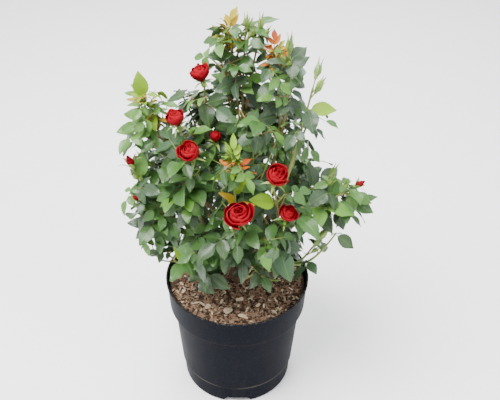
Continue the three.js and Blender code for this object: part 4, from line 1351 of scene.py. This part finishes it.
foliage = {
    "endShare": 0.57, "endSize": 0.61,  # where the last leaflet starts on the blade, and its length
    "pairs": [(0.38, 0.54, 62), (0.1, 0.42, 72)],  # where, length and angle of each pair of side leaflets
    "onePair": 0.5,  # share of the leaves that have only the upper pair
    "stalk": 0.75,  # radius of a leaf's stalk at its root
    "teeth": 8,
    "shapes": [  # width, fold, curl and wave, as shares of the length
        (0.62, 0.28, 0.12, 0.02), (0.67, 0.2, 0.2, 0.03), (0.6, 0.4, 0.08, 0.015), (0.65, 0.24, 0.3, 0.03),
        (0.42, 0.44, 0.3, 0.04),  # the narrow one, for young leaves
    ],
    "tints": ["dark", "deep", "mid", "fresh", "lime", "bronze", "flush"],
    "colours": {
        "dark": ("#16340a", "#244a15"), "deep": ("#132d14", "#204423"), "mid": ("#244c15", "#376620"),
        "fresh": ("#3a641a", "#528228"), "lime": ("#648a08", "#7fa016"), "bronze": ("#a87808", "#9c9008"),
        "flush": ("#a42c06", "#c0680c"),
    },
    "young": {  # tints of the young leaves at the tips
        "crown_top": (5, 5, 5), "crown_right": (6, 5, 6), "far_left": (5, 5, 4), "front_bloom": (4, 4, 6),
    },
    "under": "#6f8a62",
    "slack": 5,  # how far leaves may reach past the source's box, in mm
    "hem": 52, "hemSlope": 0.9,  # how far out leaves may hang at soil level, and further per mm above it
    "loose": (14, 26, 46),  # how far a leaflet's turn, rise and roll may vary, in degrees
    "narrow": 4, "narrowBelow": 27,  # the shape of young leaves, which shorter single leaves have too
    "kept": {"right_low": 0.6, "far_left": 0.7, "right_high": 0.6},  # share of leaves kept
    "single": [  # big leaves by themselves: mass, shoot, where on it, heading, length, tint
        ("right_high", 0, 0.84, (1, -0.2, 0.15), 33, "lime"),
        ("right_high", 0, 0.86, (0.1, -0.7, -0.3), 33, "deep"),
        ("front_right", 0, 0.74, (-0.8, -0.35, 0.45), 38, "lime"),
        ("front_right", 2, 0.6, (-0.85, -0.3, 0.45), 38, "dark"),
        ("front_left_skirt", 0, 0.98, (-0.5, 0.2, 0.6), 33, "lime"),
        ("front_bloom", 2, 0.9, (0.1, -0.8, 0.1), 34, "mid"),
        ("far_left", 1, 0.9, (-0.85, -0.1, -0.1), 30, "fresh"),
        ("far_left", 0, 0.78, (-0.9, 0.1, 0.2), 30, "fresh"),
        ("far_left", 0, 0.97, (-0.1, 0, 1), 34, "lime"),
        ("far_left", 0, 0.93, (-0.8, -0.1, 0.4), 20, "bronze"),
        ("far_left", 0, 0.86, (0.3, -0.5, -0.4), 28, "lime"),
        ("left_mid", 0, 0.97, (0.1, 0.1, 0.95), 34, "fresh"),
        ("right_mid", 2, 0.75, (0.35, -0.5, -0.75), 32, "deep"),
        ("crown_right", 0, 0.8, (-0.8, -0.4, -0.3), 30, "mid"),
        ("right_mid", 2, 0.5, (0.5, -0.5, -0.5), 33, "dark"),
        ("left_mid", 2, 0.8, (-0.75, -0.2, 0.3), 27, "deep"),
        ("left_mid", 2, 0.74, (-0.6, -0.5, -0.2), 28, "mid"),
        ("crown_right", 0, 0.56, (-0.7, -0.4, 0.1), 32, "deep"),
        ("right_mid", 2, 0.93, (0.75, -0.2, -0.25), 31, "mid"),
        ("right_mid", 2, 1, (0.95, 0.1, 0.3), 26, "mid"),
        ("right_mid", 1, 0.8, (0.1, 0.2, 0.9), 28, "mid"),
        ("right_low", 0, 0.98, (0.7, -0.3, -0.35), 29, "dark"),
        ("crown_top", 0, 0.72, (-0.75, -0.45, -0.1), 38, "deep"),
        ("crown_top", 2, 0.75, (0.2, -0.6, -0.55), 38, "deep"),
        ("crown_top", 1, 0.88, (-0.8, -0.3, 0.2), 30, "deep"),
        ("crown_top", 0, 0.86, (-0.8, -0.4, -0.2), 29, "dark"),
        ("crown_top", 2, 0.85, (0.3, -0.4, 0.3), 28, "dark"),
        ("crown_right", 1, 0.94, (0.6, 0.1, 0.5), 27, "deep"),
        ("front_bloom", 1, 0.8, (0.3, -0.3, 0.9), 26, "lime"),
        ("front_bloom", 1, 0.74, (-0.45, -0.4, 0.8), 26, "bronze"),
        ("front_bloom", 1, 0.86, (0.55, -0.3, 0.7), 25, "lime"),
        ("front_bloom", 1, 0.7, (0.6, -0.5, 0.6), 26, "bronze"),
        ("front_bloom", 1, 0.92, (-0.7, -0.4, 0.35), 26, "lime"),
        ("front_bloom", 1, 0.66, (-0.2, -0.4, 0.9), 24, "lime"),
        ("upper_left", 0, 0.86, (0.75, -0.2, 0.35), 32, "dark"),
        ("upper_left", 0, 0.9, (0.15, -0.75, -0.45), 34, "dark"),
    ],
}

# how many of each tint the sprays of a mass draw from, in the order of the tints
tones = {
    "usual": (5, 4, 5, 1, 0, 0, 0),
    "crown_top": (2, 5, 6, 1.5, 0, 0.2, 0),
    "crown_right": (2, 5, 6, 1.5, 0, 0.2, 0),
    "far_left": (0, 0, 4, 6, 1.5, 1, 0),
    "left_mid": (3, 4, 6, 1, 0, 0, 0),
    "right_high": (2, 4, 4, 2, 0, 0, 0),
    "right_mid": (3, 4, 5, 2, 0, 0, 0),
    # the front skirts draw mostly the dark tints: painted shade under the crown
    "front_left_skirt": (7, 6, 3, 0, 0, 0, 0),
    "front_skirt": (7, 6, 1.5, 0, 0, 0, 0),
    "front_right_skirt": (6, 5, 3, 0, 0, 0, 0),
}

leafPieces = {
    "leaves_crown": ["crown_top", "crown_right", "right_high", "upper_left"],
    "leaves_left": ["far_left", "left_blooms", "left_mid", "left_skirt", "front_left_skirt"],
    "leaves_front": ["heart", "front_bloom", "front_right", "front_skirt", "front_right_skirt"],
    "leaves_right": ["right_mid", "right_low", "right_skirt", "back_right", "back_right_skirt"],
    "leaves_back": ["back_high", "back_left", "back_low", "back_left_skirt"],
}


def leafMaterial(tint):
    low, high = foliage["colours"][tint]
    young = tint in ("lime", "bronze", "flush")
    specular, coat, through = (0.3, 0.1, 0.15) if young else (0.5, 0.4, 0.45)
    shine = {"Specular_IOR_Level": specular, "Coat_Weight": coat, "Coat_Roughness": 0.28}
    material, tree, shader = newMaterial("leaf" + tint.capitalize(), **shine)
    veins = place(tree, "veins", Pairs=8.0, Slant=0.8, Net=30.0)
    blotch = mottle(tree, 70.0, 0.35, 0.65)
    shade = put(tree, "ShaderNodeAttribute", attribute_name="shade").outputs["Fac"]
    tone = blendColour(tree, shade, low, high)
    tone = blendColour(tree, times(tree, blotch["Mask"], 0.25), tone, high)
    tone = blendColour(tree, times(tree, veins["Vein"], 0.35), tone, foliage["colours"]["lime"][0])
    back = tree.nodes.new("ShaderNodeNewGeometry").outputs["Backfacing"]
    tone = blendColour(tree, times(tree, back, through), tone, foliage["under"])
    setColour(tree, shader, tone)
    rough = plus(tree, 0.36, times(tree, blotch["Height"], 0.2))
    tree.links.new(plus(tree, rough, times(tree, back, 0.25)), shader.inputs["Roughness"])
    bump(tree, shader, veins["Height"], 0.5, 0.0014)
    return material


def leafletMesh(name, width, fold, curl, wave):
    # one toothed leaflet of unit length along +X, with its midrib at the root of +Y and -Y halves
    teeth = foliage["teeth"]

    def half(s):
        return 0.5 * width * math.sin(math.pi * min(max(s, 0), 1) ** 0.84) ** 0.82 * (1 - 0.3 * s ** 4)

    def point(s, side, share):
        y = half(s) * share
        ripple = wave * math.sin(s * 11 + side * 1.3) * share ** 2
        z = fold * abs(y) - curl * s * s * (1 + 0.4 * share) + ripple
        return (s, side * y, z)

    verts, uvs, faces = [], [], []

    def add(s, side, share):
        verts.append(point(s, side, share))
        uvs.append((s, 0.5 + side * share * half(s) / width))
        return len(verts) - 1

    mid = [add(n / teeth, 0, 0) for n in range(teeth + 1)]
    for side in (1, -1):
        inner = [mid[0]] + [add(n / teeth, side, 0.55) for n in range(1, teeth)] + [mid[-1]]
        notch = [mid[0]] + [add(n / teeth, side, 0.96) for n in range(1, teeth)] + [mid[-1]]
        for n in range(teeth):
            tooth = add((n + 0.75) / teeth, side, 1.04)
            rows = [
                [mid[n], mid[n + 1], inner[n + 1], inner[n]],
                [inner[n], inner[n + 1], notch[n + 1], tooth, notch[n]],
            ]
            for row in rows:
                face = [v for k, v in enumerate(row) if v != row[k - 1]]
                if len(face) > 2:
                    faces.append(face if side > 0 else face[::-1])
    mesh = meshFrom(name, verts, faces, uvs)
    mesh.shade_smooth()
    return mesh


def leafShapes():
    made = [leafletMesh(f"leaflet{n}", *values) for n, values in enumerate(foliage["shapes"])]
    return shapeSet("leafShapes", made)


def pickTint(name, top, draw):
    # sprays nearer the tip of a shoot are fresher
    weights = list(tones.get(name, tones["usual"]))
    weights[3] += 8 * max(0, top - 0.75)
    left = draw() * sum(weights)
    for n, weight in enumerate(weights):
        left -= weight
        if left <= 0:
            return n
    return 2


def leafletPoint(place, heading, normal, size, shape, tint, draw):
    turn, rise, roll = foliage["loose"]
    heading = turned(heading, normal, math.radians(turn) * (draw() - 0.5))
    side = unit(cross(normal, heading))
    heading = turned(heading, side, math.radians(6 + rise * (draw() - 0.4)))
    face = turned(unit(cross(heading, side)), heading, math.radians(roll) * (draw() - 0.5))
    size *= 0.88 + 0.24 * draw()
    return shapePoint(place, turnOf(heading, face), size, shape, draw(), tint, heading=heading)


# the middle of each bloom and how far leaves keep from it
bloomHearts = [(row["tip"] + up * 22, row["bloom"][0] * 0.6 + 5) for row in shoots if row["end"] == "bloom"]


def clearOfBlooms(point):
    # false for a leaflet that would stand in a bloom
    line = [point["place"] + point["heading"] * point["size"] * share for share in (0, 0.5, 1)]
    return all(math.dist(place, heart) > reach for place in line for heart, reach in bloomHearts)


def compoundLeaf(blade, root, tint, draw, narrow=False):
    # stalk and leaflets of one leaf, which fills its blade's space
    aside = unit(cross(blade["normal"], blade["heading"]))
    over = cross(blade["heading"], aside)
    length = blade["length"]
    shift = root - blade["root"]
    sag = leaf["sag"] * (0.4 if narrow else 1)

    def at(a):
        bent = (blade["heading"] * a - over * sag * a * a) * length
        place = blade["root"] + bent + shift * max(0, 1 - a / 0.4)
        return place, unit(blade["heading"] - over * 2 * sag * a), unit(over + blade["heading"] * 2 * sag * a)

    count = 4 if narrow else 5
    stalk = []
    for n in range(count + 1):
        stalk.append((at(foliage["endShare"] * n / count)[0], mix(foliage["stalk"], 0.4, n / count)))
    points = []
    place, tangent, normal = at(foliage["endShare"])
    shape = foliage["narrow"] if narrow else int(draw() * 4)
    points.append(leafletPoint(place, tangent, normal, foliage["endSize"] * length, shape, tint, draw))
    pairs = foliage["pairs"] if draw() > foliage["onePair"] else foliage["pairs"][:1]
    for a, size, angle in pairs:
        for hand in (-1, 1):
            place, tangent, normal = at(a + 0.02 * (draw() - 0.5))
            heading = turned(tangent, normal, hand * math.radians(angle * (0.6 if narrow else 1)))
            shape = foliage["narrow"] if narrow else int(draw() * 4)
            points.append(leafletPoint(place, heading, normal, size * length, shape, tint, draw))
    return stalk, points


def singleLeaves():
    made = []
    for name, number, t, heading, length, tint in foliage["single"]:
        row = [row for row in shoots if row["mass"]["name"] == name][number]
        root = pointOn(row["curve"], t)
        heading = unit(np.array(heading, float))
        normal = np.array((0, -0.6, 0.8))
        start = root + heading * length * 0.15
        turn = turnOf(heading, unit(normal - heading * (normal @ heading)))
        shape = foliage["narrow"] if length < foliage["narrowBelow"] else len(made) % 4
        made.append(shapePoint(
            start, turn, length, shape, 0.4, foliage["tints"].index(tint),
            heading=heading, mass=name, stalk=[(root, foliage["stalk"]), (start, 0.5)],
        ))
    return made


def middleOf(point):
    return point["place"] + point["heading"] * point["size"] / 2


def clearOfSingles(point, singles):
    # false for a leaflet that would hide or cut a big leaf
    middle = middleOf(point)
    return all(math.dist(middle, middleOf(single)) > single["size"] * 0.5 for single in singles)


def insideBox(point):
    # false for a leaflet that would reach past the source's own leaves or hang over the rim
    tip = point["place"] + point["heading"] * point["size"]
    if math.hypot(tip[0], tip[1]) > foliage["hem"] + foliage["hemSlope"] * (tip[2] - soil["top"]):
        return False
    slack = foliage["slack"]
    return all(cadLow[k] / mm - slack < tip[k] < cadHigh[k] / mm + slack for k in (0, 1))


def addLeaves(limbs):
    paints = [leafMaterial(tint) for tint in foliage["tints"]]
    shapes = leafShapes()
    tree = growthTree("leafletsOnPoints", len(paints))
    singles = singleLeaves()
    stalks, reach = [], {}
    total = 0

    def addLeaf(made):
        # a leaf without its end leaflet is left out
        stalk, leaflets = made
        leaflets = [point for point in leaflets if insideBox(point) and clearOfBlooms(point)]
        leaflets = [point for point in leaflets if clearOfSingles(point, singles)]
        if leaflets and math.dist(leaflets[0]["place"], stalk[-1][0]) < 1:
            stalks.append(stalk)
            points.extend(leaflets)
            return True
        return False

    for pieceName, names in leafPieces.items():
        points = []
        for number, row in enumerate(shoots):
            name = row["mass"]["name"]
            if name not in names:
                continue
            draw = seeded(900 + number)
            for item in row["grown"]["leaves"]:
                tint = pickTint(name, item["top"], draw)
                if draw() > foliage["kept"].get(name, 1):
                    continue
                for blade in item["blades"]:
                    step = 0.012 * blade["hand"] * (1 if item["curve"] is row["curve"] else 3)
                    root = pointOn(item["curve"], min(max(item["t"] + step, 0), 1))
                    if addLeaf(compoundLeaf(blade, root, tint, draw)):
                        reach[id(item["curve"])] = max(reach.get(id(item["curve"]), 0), item["t"])
            for item in row["grown"]["young"]:
                for turn, size in ((0, 0.84), (2.6, 0.68)):
                    heading = turned(item["heading"], up, turn)
                    blade = {**item, "heading": heading, "normal": up, "length": item["length"] * size}
                    tint = foliage["young"][name][int(draw() * 3)]
                    addLeaf(compoundLeaf(blade, item["root"], tint, draw, narrow=True))
        for single in singles:
            if single["mass"] in names:
                stalks.append(single["stalk"])
                points.append(single)
        total += len(points)
        piece = meshObject(pieceName, instanced(pieceName, points, tree, shapes, paints))
        finishPiece(piece, [f"foliage_{name}" for name in names])
    print("leaves:", total, "leaflets")
    return stalks, reach


twigs = {"sides": 7, "stalkSides": 4, "step": 6, "green": "#5d7a34", "olive": "#7a8040", "flush": "#8c4c34"}


def twigMaterial():
    material, tree, shader = newMaterial("greenTwig", Roughness=0.48, Specular_IOR_Level=0.45)
    patches = mottle(tree, 34.0, 0.38, 0.62)
    flush = mottle(tree, 16.0, 0.45, 0.62, (1.0, 1.0, 0.4))
    tone = blendColour(tree, patches["Mask"], twigs["green"], twigs["olive"])
    setColour(tree, shader, blendColour(tree, times(tree, flush["Mask"], 0.6), tone, twigs["flush"]))
    bump(tree, shader, patches["Height"], 0.2, 0.001)
    return material


def addTwigs(stalks, reach, limbs):
    paint = twigMaterial()
    lines = []
    for row in shoots:
        base, tip, step = shoot["base"] + 0.2, shoot["tip"], twigs["step"]
        lines.append(limbLine(row["curve"], 0, 1, base, tip, step, nodes=0.2))
        for curve in row["grown"]["sprigs"]:
            # a sprig ends at its last leaf
            if id(curve) in reach:
                last = min(reach[id(curve)] + 0.03, 1)
                lines.append(limbLine(curve, 0, last, tip + 0.2, tip - 0.2, step))
    rows = (("green_twigs", lines, twigs["sides"]), ("leaf_stalks", stalks, twigs["stalkSides"]))
    for name, made, sides in rows:
        finishPiece(meshObject(name, tube(name, made, limbs, paint, sides)))


def addFallen():
    # big pale slivers of bark and dry leaves on the mulch
    material, tree, shader = newMaterial("dryLeaf", Roughness=0.8, Specular_IOR_Level=0.25)
    veins = place(tree, "veins", Pairs=8.0, Slant=0.8, Net=30.0)
    patches = mottle(tree, 90.0, 0.3, 0.7)
    dark, pale = soil["dry"]
    tone = blendColour(tree, patches["Mask"], dark, pale)
    setColour(tree, shader, blendColour(tree, times(tree, veins["Vein"], 0.4), tone, dark))
    bump(tree, shader, veins["Height"], 0.5, 0.0015)
    draw = seeded(510)
    for name, rows, shapes, lift in (
        ("mulch_slivers", soil["slivers"], bpy.data.collections["chipShapes"], 4),
        ("dry_leaves", soil["fallen"], leafShapes(), 5),
    ):
        points = []
        for x, y, degrees, size in rows:
            around = math.radians(degrees)
            heading = np.array((math.cos(around), math.sin(around), 0.12 * (draw() - 0.5)))
            turn = turnOf(heading, turned(up, unit(heading), 0.7 * (draw() - 0.5)))
            root = np.array((x, y, soil["top"] + lift))
            points.append(shapePoint(root, turn, size, int(draw() * 4), draw()))
        mesh = instanced(name, points, growthTree(name, 1), shapes, [material])
        finishPiece(meshObject(name, mesh))


leafStalks, sprigReach = addLeaves(limbs)
addTwigs(leafStalks, sprigReach, limbs)
addFallen()
print("twigs, stalks and fallen leaves")


# blooms and buds

bloom = {
    "hip": 9, "thickness": 0.4, "petals": 21, "grid": 10,
    "rim": (1.0, 0.1),  # how far out the rims of the outermost and innermost petals stand
    "flare": (0.1, -0.34),  # how the rims turn out or in
    "top": (0.8, 1.0), "spread": (88, 190), "roll": (0.5, 0.0), "overlap": 0.07,
    # deep is a painted shade at the foot of the petals, deep inside the bloom, and edge a painted highlight
    # along their rims
    "red": "#890d1b", "deep": "#5a030d", "edge": "#8f0a18",
}


def petalMaterial():
    material, tree, shader = newMaterial("petalVelvet", Roughness=0.6, Specular_IOR_Level=0.06)
    veins = place(tree, "veins", Pairs=1.0, Slant=0.0, Net=26.0)
    clouds = mottle(tree, 120.0, 0.35, 0.7)
    rise = axesOf(tree, put(tree, "ShaderNodeUVMap", uv_map="UVMap").outputs[0])[0]
    # darker towards each petal's foot: painted shade inside the bloom
    tone = blendColour(tree, ramp(tree, rise, 0.25, 0.75), bloom["deep"], bloom["red"])
    # a lighter band at each petal's rim: painted highlight
    tone = blendColour(tree, ramp(tree, rise, 0.86, 1.0), tone, bloom["edge"])
    tone = blendColour(tree, times(tree, clouds["Mask"], 0.2), tone, bloom["deep"])
    setColour(tree, shader, tone)
    bump(tree, shader, plus(tree, veins["Height"], clouds["Height"]), 0.2, 0.0006)
    return material


def petalGrid(verts, faces, uvs, number, around, width, height, draw):
    # one petal, which runs from the bloom's foot to its rim and laps over the next one on one side
    share = number / (bloom["petals"] - 1)
    rim, top, spread, roll = (mix(*bloom[key], share ** 1.25) for key in ("rim", "top", "spread", "roll"))
    flare = mix(*bloom["flare"], min(1, share * 2.2))
    size = bloom["grid"]
    spread = math.radians(spread) * (0.9 + 0.2 * draw())
    top *= 0.93 + 0.14 * draw()
    rim *= 0.95 + 0.1 * draw()
    lap = bloom["overlap"] * (1 if draw() < 0.7 else -1)
    phase = 6 * draw()
    first = len(verts)
    for i in range(size + 1):
        v = i / size
        for j in range(size + 1):
            u = 2 * j / size - 1
            narrow = 0.3 + 0.7 * math.sin(math.pi / 2 * min(1, v * 1.3)) ** 0.8 * (1 - 0.22 * v ** 6)
            reach = mix(0.1, 1, math.sin(min(1, v / 0.72) * math.pi / 2)) * rim * width / 2
            rolled = max(0, v - 0.66) / 0.34
            reach *= 1 + flare * rolled ** 1.6
            reach += width * 0.5 * v * (lap * u + 0.02 * math.sin(3.4 * u + phase) - 0.04 * u * u)
            rise = height * top * (v ** 0.9 - roll * 0.16 * rolled ** 2 - 0.15 * u * u * v ** 3)
            rise += height * 0.035 * math.sin(4 * u + phase) * v ** 2
            angle = around + u * spread / 2 * narrow
            verts.append((reach * math.cos(angle), reach * math.sin(angle), rise))
            uvs.append((v, 0.5 + 0.5 * u))
    for i in range(size):
        for j in range(size):
            a = first + i * (size + 1) + j
            faces.append((a, a + 1, a + size + 2, a + size + 1))


def bloomMesh(name, width, height, seed):
    draw = seeded(seed)
    verts, faces, uvs = [], [], []
    phase = 6 * draw()
    for number in range(bloom["petals"]):
        around = phase + number * math.radians(shoot["turn"]) + 0.3 * (draw() - 0.5)
        petalGrid(verts, faces, uvs, number, around, width, height, draw)
    return meshFrom(name, [tuple(value * mm for value in vert) for vert in verts], faces, uvs)


def bloomAxis(row):
    return unit(up + outwardsFrom(row["tip"]) * row["lean"])


def addBlooms(petals):
    for n, row in enumerate([row for row in shoots if row["end"] == "bloom"]):
        width, height = row["bloom"]
        axis = bloomAxis(row)
        name = f"rose_{n + 1}"
        holder = meshObject(name, bloomMesh(name, width, height, 60 + n), [petals])
        thicken = holder.modifiers.new("thickness", "SOLIDIFY")
        thicken.thickness = bloom["thickness"] * mm
        thicken.offset = 0
        mesh = evaluated(holder)
        bpy.data.objects.remove(holder)
        foot = Vector((row["tip"] + axis * (bloom["hip"] + 0.3)) * mm)
        lean = Vector((0, 0, 1)).rotation_difference(Vector(axis)).to_matrix().to_4x4()
        mesh.transform(Matrix.Translation(foot) @ lean)
        mesh.shade_smooth()
        finishPiece(meshObject(name, mesh), [f"bloom_{n + 1}"])


def strip(verts, faces, line, widths, aside):
    # a narrow pointed sheet along a line of points
    first = len(verts)
    for point, width in zip(line, widths):
        verts += [point + aside * width, point - aside * width]
    for n in range(len(line) - 1):
        a = first + 2 * n
        faces.append((a, a + 1, a + 3, a + 2))


def calyxMesh(name, profile, sepals, sides=12):
    # a green body turned round +X, closed at both ends, and its sepals
    verts, faces = [], []
    for x, r in profile:
        for n in range(sides):
            around = 2 * math.pi * n / sides
            verts.append(np.array((x, r * math.cos(around), r * math.sin(around))))
    for k in range(len(profile) - 1):
        for n in range(sides):
            a, b = k * sides + n, k * sides + (n + 1) % sides
            faces.append((a, a + sides, b + sides, b))
    faces.append(tuple(range(sides)))
    faces.append(tuple(range(len(profile) * sides - 1, (len(profile) - 1) * sides - 1, -1)))
    split = len(faces)
    for n in range(5):
        around = 2 * math.pi * (n + 0.25) / 5
        out = np.array((0, math.cos(around), math.sin(around)))
        aside = np.array((0, -math.sin(around), math.cos(around)))
        line = [np.array((x, 0, 0)) + out * r for x, r, _ in sepals]
        strip(verts, faces, line, [w for _, _, w in sepals], aside)
    mesh = meshFrom(name, [tuple(v) for v in verts], faces)
    mesh.uv_layers.new(name="UVMap")
    mesh.shade_smooth()
    return mesh, split


budShape = {
    "stalk": 0.42,
    # (along, radius) of the bodies and (along, radius, half width) of the sepals, as shares of the length
    "body": [
        (0.3, 0.02), (0.34, 0.075), (0.42, 0.095), (0.48, 0.08), (0.55, 0.12), (0.65, 0.145),
        (0.76, 0.13), (0.88, 0.075), (0.97, 0.015),
    ],
    "sepals": [
        (0.46, 0.09, 0.03), (0.56, 0.128, 0.09), (0.68, 0.155, 0.1), (0.8, 0.14, 0.085),
        (0.95, 0.11, 0.05), (1.1, 0.13, 0.025), (1.27, 0.2, 0.005),
    ],
    "openSepals": [
        (0.46, 0.09, 0.03), (0.54, 0.14, 0.08), (0.64, 0.22, 0.07),
        (0.72, 0.32, 0.045), (0.76, 0.44, 0.02), (0.74, 0.54, 0.004),
    ],
    "hip": [(0, 0.1), (0.12, 0.3), (0.45, 0.4), (0.8, 0.36), (1.0, 0.42), (1.08, 0.2)],
    "hipSepals": [
        (0.9, 0.36, 0.16), (1.05, 0.7, 0.22), (1.0, 1.15, 0.17), (0.78, 1.6, 0.1), (0.5, 1.95, 0.02),
    ],
    "calyx": "#5c7a34", "calyxPale": "#93a850",
    # share of the shoots whose first bud is red
    "red": {"left_mid": 1, "right_mid": 0.4, "crown_right": 0.2, "back_left": 0.6, "back_right": 0.4},
}


def calyxMaterial():
    material, tree, shader = newMaterial("calyxGreen", Roughness=0.5)
    patches = mottle(tree, 80.0, 0.35, 0.65)
    setColour(tree, shader, blendColour(tree, patches["Mask"], budShape["calyx"], budShape["calyxPale"]))
    bump(tree, shader, patches["Height"], 0.2, 0.001)
    return material


def budShapes():
    made = []
    for n, (body, sepals, bare) in enumerate([  # and how far up the petals begin to show, if they do
        ("body", "sepals", math.inf), ("body", "openSepals", 0.6), ("hip", "hipSepals", math.inf),
    ]):
        mesh, split = calyxMesh(f"bud{n}", budShape[body], budShape[sepals])
        flags = mesh.attributes.new("petal", "BOOLEAN", "FACE")
        for polygon in mesh.polygons:
            flags.data[polygon.index].value = polygon.index < split and polygon.center.x > bare
        made.append(mesh)
    return shapeSet("budShapes", made)


def addBuds(petals, limbs, paint):
    draw = seeded(77)
    points, stalks = [], []
    for row in shoots:
        for n, bud in enumerate(row["grown"]["buds"]):
            red = n == 0 and draw() < budShape["red"].get(row["mass"]["name"], 0)
            length = bud["length"] * (0.66 + 0.26 * draw())
            root, heading = bud["root"], bud["heading"]
            stops = ((0, 0.9), (0.2, 0.8), (budShape["stalk"], 0.9))
            stalks.append([(root + heading * length * share, radius) for share, radius in stops])
            turn = turnOf(heading, across(heading)[1])
            points.append(shapePoint(root + heading * length * 0.08, turn, length, int(red), draw()))
        if row["end"] == "bloom":
            axis = bloomAxis(row)
            points.append(shapePoint(row["tip"], turnOf(axis, across(axis)[1]), bloom["hip"], 2, draw()))
    calyx = calyxMaterial()
    mesh = instanced("buds", points, growthTree("budsOnPoints", 1), budShapes(), [calyx])
    mesh.materials.append(petals)
    red = len(mesh.materials) - 1
    flags = mesh.attributes["petal"]
    for polygon in mesh.polygons:
        if flags.data[polygon.index].value:
            polygon.material_index = red
    finishPiece(meshObject("buds", mesh))
    finishPiece(meshObject("bud_stalks", tube("budStalks", stalks, limbs, paint, 6)))


petals = petalMaterial()
addBlooms(petals)
addBuds(petals, limbs, bpy.data.materials["greenTwig"])
print("blooms and buds")


low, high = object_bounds()
for name, extent in (("size", high - low), ("CAD", cadHigh - cadLow)):
    print(name, [round(value, 4) for value in extent])
